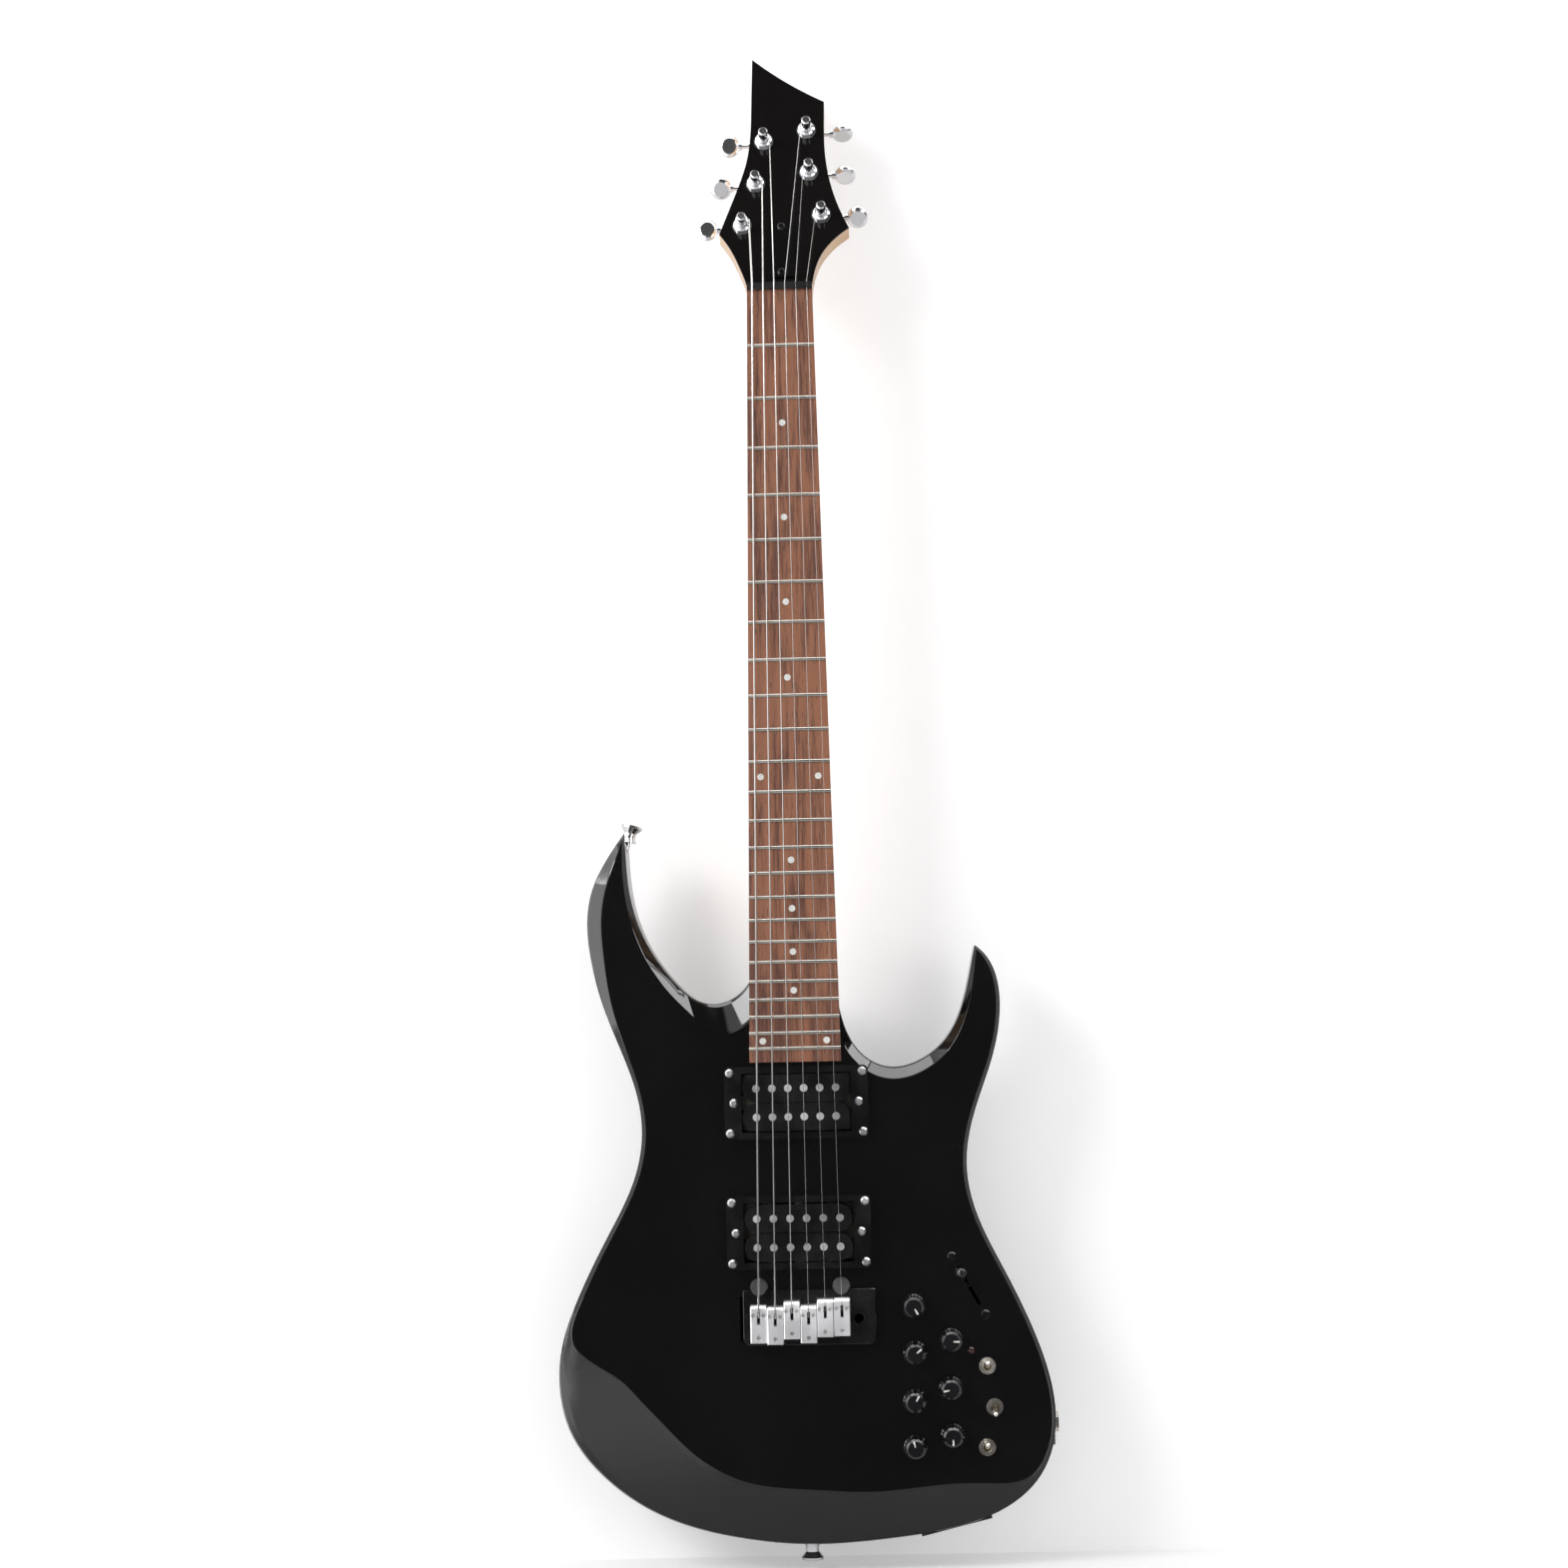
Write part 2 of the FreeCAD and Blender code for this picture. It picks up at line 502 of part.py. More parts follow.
def make_neck():
    """Maple neck and headstock in one piece, with the truss-rod channel and tuner bores."""
    start = -board_length() + size("heel_length")
    shaft = Part.makeLoft([
        neck_section(0.0, size("neck_thick"), 0.9),
        neck_section(-200.0, size("neck_thick") + size("neck_growth") / 2, 0.88),
        neck_section(start + 34, size("neck_thick") + size("neck_growth"), 0.86),
    ], True, False)
    sweep = Part.makeLoft([
        neck_section(start + 34, size("neck_thick") + size("neck_growth"), 0.86),
        neck_section(start + 18, size("heel_depth") - board_back_y() - 2.0, 0.72),
        neck_section(start + 8, size("heel_depth") - board_back_y() - 0.5, 0.6),
        neck_section(start, size("heel_depth") - board_back_y(), 0.45),
    ], True, True)
    wood = size("head_thick") - size("veneer_thick")
    head = head_outline().extrude(Vector(0, 0, -wood))
    head.Placement = head_placement(0, 0) * Placement(Vector(0, 0, -size("veneer_thick")), Rotation())
    front_room = Part.makeBox(200, 100, 60, Vector(-100, board_back_y() - 100, -30))
    shell = shaft.fuse([sweep, heel_block(), head.cut(front_room)]).removeSplitter()
    tools = [solid("rod_channel", rod_channel())]
    for i, (x, up, _, _) in enumerate(TUNERS):
        tools.append(solid(f"tuner_bore_{i}", Part.makeCylinder(
            size("bushing_radius") - 0.2, size("head_thick") + 2, Vector(0, 0, 1), Vector(0, 0, -1)),
            head_placement(x, up)))
        tools.append(solid(f"tuner_screw_bore_{i}", screw_shank(7.0), tuner_screw_placement(i)))
    for side in (-1, 1):
        for end in (-1, 1):
            tools.append(rod(f"heel_screw_bore_{side}_{end}", "$neck_screw_radius", "13",
                             (f"{side} * $neck_screw_spread", "$heel_depth",
                              f"{neck_plate_z()} + {end} * $neck_screw_spread"), "-Y"))
    for i, (x, up) in enumerate(TRUSS_COVER_SCREWS):
        tools.append(solid(f"truss_screw_bore_{i}", screw_shank(8.0),
                           head_placement(x, up) * Placement(Vector(0, 0, 1.6), Rotation())))
    return keep("neck", cut("neck_cut", solid("neck_shell", shell), tools))


TRUSS_COVER_SCREWS = [(1.5, 13.5), (1.5, 46.5)]


def rod_channel():
    """A channel under the fretboard that opens under the cover on the headstock."""
    slot = Part.makeBox(6.4, 10.0, board_length() - 20, Vector(-3.2, board_back_y(), -board_length() + 30))
    pocket = Part.makeBox(9.0, 10.0, 26.0, Vector(-4.5, board_back_y() + 1.5, 10.0))
    return slot.fuse(pocket)


def make_truss_rod():
    rod_radius = 2.6
    y = board_back_y() + 6.0
    bar = rod("truss_bar", rod_radius, f"{board_length() - 40}", (0, y, -board_length() + 34), "+Z")
    nut = rod("truss_nut", 3.1, "12", (0, y, -6), "+Z")
    socket = rod("truss_socket", 1.6, "5", (0, y, 1), "+Z")
    return keep("truss_rod", cut("truss_rod_cut", fuse("truss_rod_blank", [bar, nut]), [socket]))


def make_headstock_veneer():
    face = head_outline(size("nut_thick") + 1.2)
    tools = [Part.makeCylinder(size("bushing_radius") - 0.2, 4, Vector(x, up, -2), Vector(0, 0, 1))
             for x, up, _, _ in TUNERS]
    tools += [Part.makeCylinder(size("small_screw_radius"), 4, Vector(x, up, -2), Vector(0, 0, 1))
              for x, up in TRUSS_COVER_SCREWS]
    tools.append(Part.makeBox(9.0, 26.0, 4.0, Vector(-4.5, 12.0, -2)))
    sheet_of_wood = face.extrude(Vector(0, 0, -size("veneer_thick"))).cut(tools)
    return keep("headstock_veneer", solid("veneer", sheet_of_wood, head_placement(0, 0)))


def make_truss_rod_cover():
    thick = 1.6
    points = [Vector(x, up, 0) for x, up in TRUSS_COVER]
    plate = Part.Face(Part.makePolygon(points + points[:1])).extrude(Vector(0, 0, thick))
    upright = [edge for edge in plate.Edges if abs(edge.tangentAt(edge.FirstParameter).z) > 0.99]
    plate = plate.makeFillet(2.0, upright)
    holes = [Part.makeCylinder(size("small_screw_radius"), 4, Vector(x, up, -1), Vector(0, 0, 1))
             for x, up in TRUSS_COVER_SCREWS]
    return keep("truss_rod_cover", solid("truss_cover", plate.cut(holes), head_placement(0, 0)))


def board_blank(shift=0.0):
    """The tapered, cambered board; shift moves its face along Y."""
    sections = []
    for z in (0.0, -board_length()):
        half = board_half_width(z)
        left, crown, right = (Vector(x, board_face_y(x) + shift, z) for x in (-half, 0.0, half))
        back = board_back_y()
        sections.append(Part.Wire([
            Part.Arc(left, crown, right).toShape(), Part.makeLine(right, Vector(half, back, z)),
            Part.makeLine(Vector(half, back, z), Vector(-half, back, z)),
            Part.makeLine(Vector(-half, back, z), left)]))
    return Part.makeLoft(sections, True, True)


def fret_slot(number):
    half = board_half_width(fret_z(number))
    corner = Vector(-half - 1, -size("board_proud") - 1.0, fret_z(number) - size("tang_width") / 2)
    return Part.makeBox(2 * half + 2, size("tang_depth") + 2, size("tang_width"), corner)


def dot_spots():
    spots = [(0.0, number) for number in DOT_FRETS]
    for number in DOUBLE_DOT_FRETS:
        reach = board_half_width(fret_z(number)) * 0.7
        spots += [(-reach, number), (reach, number)]
    return [(x, (fret_z(number) + fret_z(number - 1)) / 2) for x, number in spots]


def dot_blank(x, z):
    return Part.makeCylinder(size("dot_radius"), size("dot_depth") + 3,
                             Vector(x, -size("board_proud") + size("dot_depth"), z), Vector(0, -1, 0))


def make_fretboard():
    tools = [fret_slot(number) for number in range(1, FRETS + 1)]
    tools += [dot_blank(x, z) for x, z in dot_spots()]
    return keep("fretboard", solid("board", board_blank().cut(tools)))


def make_inlay_dots():
    board = board_blank()
    dots = [dot_blank(x, z).common(board) for x, z in dot_spots()]
    return keep("inlay_dots", group("dots", [solid(f"dot_{i}", dot) for i, dot in enumerate(dots)]))


def make_frets():
    """Each fret: a domed crown that follows the board's camber, on a straight tang."""
    frets = []
    for number in range(1, FRETS + 1):
        z = fret_z(number)
        half = board_half_width(z)
        centre = Vector(0, board_face_y(0) + size("board_radius"), z)
        face_y = board_face_y(0)
        rise = size("fret_height")
        side = size("fret_width") / 2
        crown = Part.Face(Part.Wire([
            Part.Arc(Vector(0, face_y, z - side), Vector(0, face_y - rise, z),
                     Vector(0, face_y, z + side)).toShape(),
            Part.makeLine(Vector(0, face_y, z + side), Vector(0, face_y, z - side))]))
        sweep_angle = 2 * math.degrees(math.asin(half / size("board_radius")))
        crown.rotate(centre, Vector(0, 0, 1), -sweep_angle / 2)
        bead = crown.revolve(centre, Vector(0, 0, 1), sweep_angle)
        tang = fret_slot(number).common(board_blank(-0.3))
        frets.append(solid(f"fret_{number}", bead.fuse(tang).removeSplitter()))
    return keep("frets", group("fret_set", frets))


def make_nut():
    """The nut: a bar on the neck behind the board, with a slot for each string."""
    half = size("nut_width") / 2
    rise = size("fret_height") + size("nut_rise")
    left, crown, right = (Vector(x, board_face_y(x) - rise, 0) for x in (-half, 0, half))
    back = board_back_y()
    outline = Part.Wire([
        Part.Arc(left, crown, right).toShape(), Part.makeLine(right, Vector(half, back, 0)),
        Part.makeLine(Vector(half, back, 0), Vector(-half, back, 0)),
        Part.makeLine(Vector(-half, back, 0), left)])
    bar = Part.Face(outline).extrude(Vector(0, 0, size("nut_thick")))
    slots = []
    for number in range(STRINGS):
        point = nut_point(number)
        radius = STRING_RADII[number] + 0.03
        bed = Part.makeCylinder(radius, 20, Vector(point.x, point.y, -10), Vector(0, 0, 1))
        mouth = Part.makeBox(2 * radius, 6, 20, Vector(point.x - radius, point.y - 6, -10))
        slots += [bed, mouth]
    return keep("nut", solid("nut_bar", bar.cut(slots)))


# ---- tuning machines -------------------------------------------------------------------------

def tuner_frame(index):
    """Local frame of a machine: Z out of the face along the post, X across the headstock."""
    x, up, _, _ = TUNERS[index]
    return head_placement(x, up)


def tuner_across(index, distance):
    return TUNERS[index][2] * distance


def screw_shank(length):
    """A blind pilot for a small screw, from local z = 0 down."""
    return Part.makeCylinder(size("small_screw_radius"), length, Vector(0, 0, 0), Vector(0, 0, -1))


def tuner_screw_placement(index):
    """The housing's lug screw, driven forwards into the back of the headstock."""
    spot = Vector(tuner_across(index, 1.0), -housing_low() - 3.2, -size("head_thick"))
    return tuner_frame(index) * Placement(spot, Rotation(Vector(1, 0, 0), 180))


def housing_low():
    return size("gear_radius") + size("housing_wall") + 0.5


def housing_high():
    return size("worm_offset") + size("worm_radius") + size("housing_wall") + 0.6


def gear_level():
    """Depth of the middle of the gear and of the worm's axis behind the headstock's face."""
    return size("head_thick") + size("housing_thick") / 2


def gear(radius):
    """A worm wheel with fourteen shallow hollows."""
    teeth = 14
    foot = Vector(0, 0, -gear_level() - size("gear_thick") / 2)
    wheel = Part.makeCylinder(radius, size("gear_thick"), foot)
    reach, hollow_radius, length = radius + 0.2, 0.7, 20
    hollows = []
    for tooth in range(teeth):
        angle = 2 * math.pi * tooth / teeth
        spot = Vector(reach * math.cos(angle), reach * math.sin(angle), -gear_level() - length / 2)
        hollows.append(Part.makeCylinder(hollow_radius, length, spot))
    return wheel.cut(hollows)


def make_tuner_post(index):
    """Post, worm wheel and the turns of string on the post; they turn as one."""
    radius = size("post_radius")
    foot = gear_level() + size("gear_thick") / 2 + 0.8
    shaft = Part.makeCylinder(radius, foot + size("post_rise"), Vector(0, 0, -foot))
    dome = Part.makeCone(radius, radius - 0.7, 0.8, Vector(0, 0, size("post_rise")))
    waist = winding_profile(index, radius - 0.5)
    hole = Part.makeCylinder(0.9, 20, Vector(-10, 0, winding_top(index) + 1.2), Vector(1, 0, 0))
    post = shaft.fuse([dome, gear(size("gear_radius"))]).cut([hole, waist])
    wound = solid(f"winding_{index}", waist)
    return keep(f"tuner_post_{index + 1}",
                with_placement(group(f"post_{index}", [solid(f"post_shaft_{index}", post), wound]),
                               tuner_frame(index)))


def with_placement(item, placement):
    item.Placement = placement
    return item


WINDING_TURNS = 4
WINDING_START = 4.2


def winding_step(index):
    return 2 * STRING_RADII[index] * 0.96


def winding_top(index):
    return WINDING_START + winding_step(index) * WINDING_TURNS


def winding_profile(index, inner):
    """Turns of string side by side round the post, as one ribbed ring."""
    radius = STRING_RADII[index]
    middle = size("post_radius") + radius
    step = winding_step(index)
    ring = Part.makeCylinder(middle, step * (WINDING_TURNS - 1), Vector(0, 0, WINDING_START)).cut(
        Part.makeCylinder(inner, step * WINDING_TURNS + 4, Vector(0, 0, WINDING_START - 2)))
    turns = [Part.makeTorus(middle, radius, Vector(0, 0, WINDING_START + step * turn), Vector(0, 0, 1))
             for turn in range(WINDING_TURNS)]
    return ring.fuse(turns).removeSplitter()


def make_tuner_key(index):
    """Button, shaft and worm on one axis across the headstock."""
    _, _, side, rest = TUNERS[index]
    level = -gear_level()
    offset = size("worm_offset")
    along = Vector(side, 0, 0)
    reach = size("key_reach")
    shaft = Part.makeCylinder(size("key_shaft_radius"), reach + 4, Vector(-side * 4, offset, level), along)
    worm = Part.makeCylinder(size("worm_radius"), size("worm_length"),
                             Vector(-side * size("worm_length") / 2, offset, level), along)
    grooves = [Part.makeTorus(size("worm_radius") + 0.15, 0.55,
                              Vector(side * (step - 2) * 1.6, offset, level), along) for step in range(5)]
    collar = Part.makeCylinder(2.6, 2.2, Vector(side * (reach - 9.6), offset, level), along)
    button = key_button().copy()
    button.Placement = (Placement(Vector(side * (reach - 8.0), offset, level), Rotation())
                        * Placement(Vector(), Rotation(Vector(side, 0, 0), rest))
                        * Placement(Vector(), Rotation(Vector(0, 0, 1), 0 if side > 0 else 180)))
    shape = worm.cut(grooves).fuse([shaft, collar, button]).removeSplitter()
    return keep(f"tuner_key_{index + 1}", solid(f"key_{index}", shape, tuner_frame(index)))


def key_button():
    """The key's oval finger plate: local X along the shaft, widest across it, pillowed faces."""
    width, length, thick = 15.0, 14.0, 6.2
    blank = Part.makeSphere(1.0)
    stretch = FreeCAD.Matrix()
    stretch.scale(length / 2, width / 2, thick / 2)
    pillow = blank.transformGeometry(stretch)
    pillow.translate(Vector(length / 2, 0, 0))
    rim = Part.makeCylinder(width, thick * 0.74, Vector(length / 2, 0, -thick * 0.37))
    neck = Part.makeCone(2.6, 2.2, 4.0, Vector(-1.2, 0, 0), Vector(1, 0, 0))
    return pillow.common(rim).fuse(neck)


def make_tuner_housings():
    """Die-cast cases behind the headstock, hollow round the worm and the wheel."""
    wall = size("housing_wall")
    gap = size("running_gap")
    cases = []
    for index, (_, _, side, _) in enumerate(TUNERS):
        low, high, wide = housing_low(), housing_high(), size("housing_width")
        thick = size("housing_thick")
        back = -size("head_thick") - thick
        case = Part.makeBox(wide, low + high, thick, Vector(-wide / 2, -low, back))
        upright = [edge for edge in case.Edges if abs(edge.tangentAt(edge.FirstParameter).z) > 0.99]
        case = case.makeFillet(3.0, upright)
        rear = [edge for edge in case.Edges if abs(edge.CenterOfMass.z - back) < 0.01]
        case = case.makeFillet(1.0, rear)
        lug = Part.makeCylinder(3.2, 2.0, Vector(side * 1.0, -low - 3.2, -size("head_thick") - 2.0))
        web = Part.makeBox(6.4, 4.0, 2.0, Vector(side * 1.0 - 3.2, -low - 3.0, -size("head_thick") - 2.0))
        room = Part.makeBox(wide - 2 * wall, low + high - 2 * wall, thick - wall,
                            Vector(-wide / 2 + wall, -low + wall, back + wall))
        bore = Part.makeCylinder(size("key_shaft_radius") + gap, wide,
                                 Vector(0, size("worm_offset"), -gear_level()), Vector(side, 0, 0))
        hole = Part.makeCylinder(size("small_screw_radius"), 6,
                                 Vector(side * 1.0, -low - 3.2, -size("head_thick") + 1), Vector(0, 0, -1))
        sleeve = Part.makeCylinder(size("key_shaft_radius") + 1.3, 3.0,
                                   Vector(side * (wide / 2 - 0.5), size("worm_offset"), -gear_level()),
                                   Vector(side, 0, 0))
        front = Part.makeBox(wide - 2 * wall, low + high - 2 * wall, wall,
                             Vector(-wide / 2 + wall, -low + wall, -size("head_thick") - wall))
        pivot = Part.makeCylinder(size("post_radius") + gap, wall * 3,
                                  Vector(0, 0, -size("head_thick") - 2 * wall))
        shell = case.fuse([lug, web, sleeve]).cut([room, hole]).fuse(front).cut([bore, pivot])
        cases.append(solid(f"housing_{index}", shell.removeSplitter(), tuner_frame(index)))
    return keep("tuner_housings", group("housings", cases))


def make_tuner_bushings():
    """Threaded bushings that draw the machines up: a hexagon collar over a washer on the face."""
    sleeves = []
    for index in range(STRINGS):
        washer = Part.makeCylinder(size("bushing_flange") + 0.6, 0.6)
        corners = [Vector(size("bushing_flange") * math.cos(math.pi * side / 3),
                          size("bushing_flange") * math.sin(math.pi * side / 3), 0.6) for side in range(7)]
        collar = Part.Face(Part.makePolygon(corners)).extrude(Vector(0, 0, size("bushing_rise")))
        top = Part.makeCone(size("bushing_flange") - 0.6, size("post_radius") + 1.0, 0.8,
                            Vector(0, 0, 0.6 + size("bushing_rise")))
        sleeve = Part.makeCylinder(size("bushing_radius") - 0.2, size("head_thick"),
                                   Vector(0, 0, -size("head_thick")))
        bore = Part.makeCylinder(size("post_radius") + size("running_gap"), size("head_thick") + 8,
                                 Vector(0, 0, -size("head_thick")))
        bushing = washer.fuse([collar, top, sleeve]).cut(bore).removeSplitter()
        sleeves.append(solid(f"bushing_{index}", bushing, tuner_frame(index)))
    return keep("tuner_bushings", group("bushings", sleeves))


# ---- strings ---------------------------------------------------------------------------------

def wire(points, radius):
    """A wire of round section along straight runs, rounded at the bends."""
    shape = None
    for start, end in zip(points, points[1:]):
        run = Part.makeCylinder(radius, (end - start).Length, start, end - start)
        shape = run if shape is None else shape.fuse([run, Part.makeSphere(radius, start)])
    return shape.removeSplitter()


def post_tangent(index):
    """Where the string leaves its post, on the side nearer the centreline, heading for the nut."""
    radius = STRING_RADII[index]
    x, up, side, _ = TUNERS[index]
    level = WINDING_START + winding_step(index) * (WINDING_TURNS - 1)
    away = size("post_radius") + 3 * radius + 0.05
    nut = nut_point(index)
    dx, dup = nut.x - x, -up
    reach = math.hypot(dx, dup)
    across = -side
    normal = (across * abs(dup) / reach, across * dx / reach)
    if normal[0] * across < 0:
        normal = (-normal[0], -normal[1])
    return head_point(x + normal[0] * away, up + normal[1] * away, -level)


def make_strings():
    """The six strings from their posts over the nut to the crests of the saddles."""
    runs = []
    for index in range(STRINGS):
        points = [post_tangent(index), nut_point(index), saddle_point(index)]
        runs.append(solid(f"string_{index}", wire(points, STRING_RADII[index])))
    return keep("strings", group("string_set", runs))


def make_string_tails():
    """Each string past its saddle's crest: down through plate and block to its ball end."""
    tails = []
    for index in range(STRINGS):
        crest = saddle_point(index)
        down = Vector(crest.x, crest.y + 1.6, crest.z - size("tail_step"))
        ball_y = size("trem_block_end") - size("ball_length") - 2.0
        start = crest + (down - crest).normalize() * (0.6 * STRING_RADII[index] + 0.02)
        tail = wire([start, down, Vector(down.x, ball_y + 0.5, down.z)], STRING_RADII[index])
        ball = Part.makeCylinder(size("ball_radius"), size("ball_length"),
                                 Vector(down.x, ball_y, down.z), Vector(0, 1, 0))
        tails.append(solid(f"tail_{index}", tail.fuse(ball)))
    return keep("string_tails", group("tail_set", tails))


# ---- tremolo ---------------------------------------------------------------------------------

def plate_top_y():
    return -size("plate_float") - size("trem_plate_thick")


def saddle_x(index):
    return string_x(index, "string_pitch_saddle")


def make_trem_plate():
    """The rocking plate: two knife-edge notches in front, rounded rear corners, the arm's bush."""
    left, right = size("plate_left"), size("plate_right")
    front, rear = size("plate_front"), size("plate_back")
    plate = Part.makeBox(right - left, size("trem_plate_thick"), front - rear,
                         Vector(left, plate_top_y(), rear))
    rear_corners = [edge for edge in plate.Edges if abs(edge.tangentAt(edge.FirstParameter).y) > 0.99
                    and abs(edge.CenterOfMass.z - rear) < 0.01]
    plate = plate.makeFillet(size("plate_corner"), rear_corners)
    front_corners = [edge for edge in plate.Edges if abs(edge.tangentAt(edge.FirstParameter).y) > 0.99
                     and abs(edge.CenterOfMass.z - front) < 0.01]
    plate = plate.makeFillet(1.5, front_corners)
    top_edges = [edge for edge in plate.Edges if abs(edge.CenterOfMass.y - plate_top_y()) < 0.01]
    plate = plate.makeChamfer(0.4, top_edges)
    deep = Vector(0, 1, 0)
    tools = [Part.makeCylinder(size("stud_waist") + size("knife_gap"), 10,
                               Vector(side * size("stud_x"), plate_top_y() - 4, size("stud_z")), deep)
             for side in (-1, 1)]
    for index in range(STRINGS):
        crest = saddle_point(index)
        tools.append(Part.makeCylinder(
            1.2, 6, Vector(crest.x, plate_top_y() - 2, crest.z - size("tail_step")), deep))
        x, z = hold_down_spot(index)
        tools.append(Part.makeCylinder(1.35, 6, Vector(x, plate_top_y() - 2, z), deep))
    arm = Vector(size("arm_x"), plate_top_y() - 1.6, size("arm_z"))
    bush = Part.makeCylinder(size("arm_bush_radius"), size("arm_bush_length"), arm, deep)
    bore = Part.makeCylinder(size("arm_bore_radius"), size("arm_bush_length") + 2, arm - deep, deep)
    shape = plate.cut(tools).fuse(bush).cut(bore).removeSplitter()
    return keep("trem_plate", solid("trem_plate_body", shape))


def hold_down_spot(index):
    return saddle_x(index), SADDLE_FRONTS[index] - size("saddle_length") + 3.4


def make_trem_block():
    """The inertia block under the plate, bored for the strings, their ball ends and the springs."""
    width = size("trem_block_width")
    low = size("trem_block_front") - size("trem_block_thick")
    blank = block("trem_block_blank",
                  ("$trem_block_width", "$trem_block_end + $plate_float", "$trem_block_thick"),
                  (-width / 2, "-$plate_float", low))
    tools = []
    for index in range(STRINGS):
        crest = saddle_point(index)
        z = crest.z - size("tail_step")
        tools.append(rod(f"tail_bore_{index}", 1.0, "$trem_block_end + $plate_float",
                         (crest.x, "-$plate_float", z)))
        tools.append(rod(f"ball_bore_{index}", "$tail_bore", "$ball_length + 2.1",
                         (crest.x, "$trem_block_end - $ball_length - 2.1", z)))
    for row in (-1, 0, 1):
        tools.append(rod(f"spring_hook_bore_{row}", 1.5, 5,
                         (f"{row} * $spring_pitch_x", "$spring_y", "$trem_block_front"), "-Z"))
    return keep("trem_block", cut("trem_block_cut", blank, tools))


def make_saddles():
    """Six block saddles: a rounded crest in front, a slot for the string, bores for the screws."""
    width, length = size("saddle_width"), size("saddle_length")
    bottom = plate_top_y() - size("saddle_lift")
    blocks = []
    for index in range(STRINGS):
        crest = saddle_point(index)
        top = crest.y + STRING_RADII[index] + 0.02
        front = SADDLE_FRONTS[index]
        round_radius = 3.2
        body_shape = Part.makeBox(width, bottom - top, length,
                                  Vector(crest.x - width / 2, top, front - length))
        lip = [edge for edge in body_shape.Edges if abs(edge.CenterOfMass.y - top) < 0.01
               and abs(edge.CenterOfMass.z - front) < 0.01]
        body_shape = body_shape.makeFillet(round_radius, lip)
        top_sides = [edge for edge in body_shape.Edges if abs(edge.CenterOfMass.y - top) < 0.01
                     and abs(edge.tangentAt(edge.FirstParameter).z) > 0.99]
        rear_lip = [edge for edge in body_shape.Edges if abs(edge.CenterOfMass.y - top) < 0.01
                    and abs(edge.CenterOfMass.z - front + length) < 0.01]
        body_shape = body_shape.makeChamfer(0.5, top_sides + rear_lip)
        slot_width = size("saddle_slot")
        slot = Part.makeBox(slot_width, 40, size("saddle_slot_length"),
                            Vector(crest.x - slot_width / 2, top - 5, crest.z - size("saddle_slot_length")))
        tools = [slot]
        for side in (-1, 1):
            tools.append(Part.makeCylinder(1.35, 40, Vector(crest.x + side * 3.3, top - 5, front - 6.2),
                                           Vector(0, 1, 0)))
        x, z = hold_down_spot(index)
        tools.append(Part.makeCylinder(1.35, 40, Vector(x, top - 5, z), Vector(0, 1, 0)))
        blocks.append(solid(f"saddle_{index}", body_shape.cut(tools)))
    return keep("saddles", group("saddle_set", blocks))


def hex_socket(radius, at):
    turns = [math.pi * side / 3 for side in range(7)]
    corners = [at + Vector(radius * math.cos(turn), 0, radius * math.sin(turn)) for turn in turns]
    return Part.Face(Part.makePolygon(corners)).extrude(Vector(0, 1.6, 0))


def make_saddle_screws():
    """Per saddle: two height grub screws standing on the plate and one hold-down screw."""
    screws = []
    for index in range(STRINGS):
        crest = saddle_point(index)
        top = crest.y + STRING_RADII[index] + 0.8
        spots = [(crest.x + side * 3.3, SADDLE_FRONTS[index] - 6.2, plate_top_y()) for side in (-1, 1)]
        spots.append((*hold_down_spot(index), -size("plate_float")))
        for number, (x, z, end) in enumerate(spots):
            shape = Part.makeCylinder(1.3, end - top, Vector(x, top, z), Vector(0, 1, 0))
            shape = shape.cut(hex_socket(0.8, Vector(x, top, z)))
            screws.append(solid(f"saddle_screw_{index}_{number}", shape))
    return keep("saddle_screws", group("saddle_screw_set", screws))


def make_trem_studs():
    """Slotted pivot studs screwed into knurled inserts pressed into the body."""
    items = []
    for side in (-1, 1):
        x = f"{side} * $stud_x"
        top = "-$stud_rise"
        head = rod(f"stud_head_{side}", "$stud_flange", "$stud_rise - $plate_float - $trem_plate_thick - 0.6",
                   (x, top, "$stud_z"))
        waist = rod(f"stud_waist_{side}", "$stud_waist", "$stud_rise", (x, top, "$stud_z"))
        foot = rod(f"stud_foot_{side}", "$stud_flange", "$plate_float - 0.9",
                   (x, "-$plate_float + 0.7", "$stud_z"))
        thread = rod(f"stud_thread_{side}", "$stud_thread", "$insert_length - 3", (x, "-0.3", "$stud_z"))
        slot = block(f"stud_slot_{side}", ("2 * $stud_flange", "1.6", "1.2"),
                     (f"{side} * $stud_x - $stud_flange", top, "$stud_z - 0.6"))
        items.append(cut(f"stud_{side}", fuse(f"stud_solid_{side}", [head, waist, foot, thread]), [slot]))
        sleeve = rod(f"insert_{side}", "$insert_radius", "$insert_length", (x, "0", "$stud_z"))
        bore = rod(f"insert_bore_in_{side}", "$stud_thread", "$insert_length - 3.3", (x, "0", "$stud_z"))
        items.append(cut(f"insert_cut_{side}", sleeve, [bore]))
    return keep("trem_studs", group("stud_set", items))


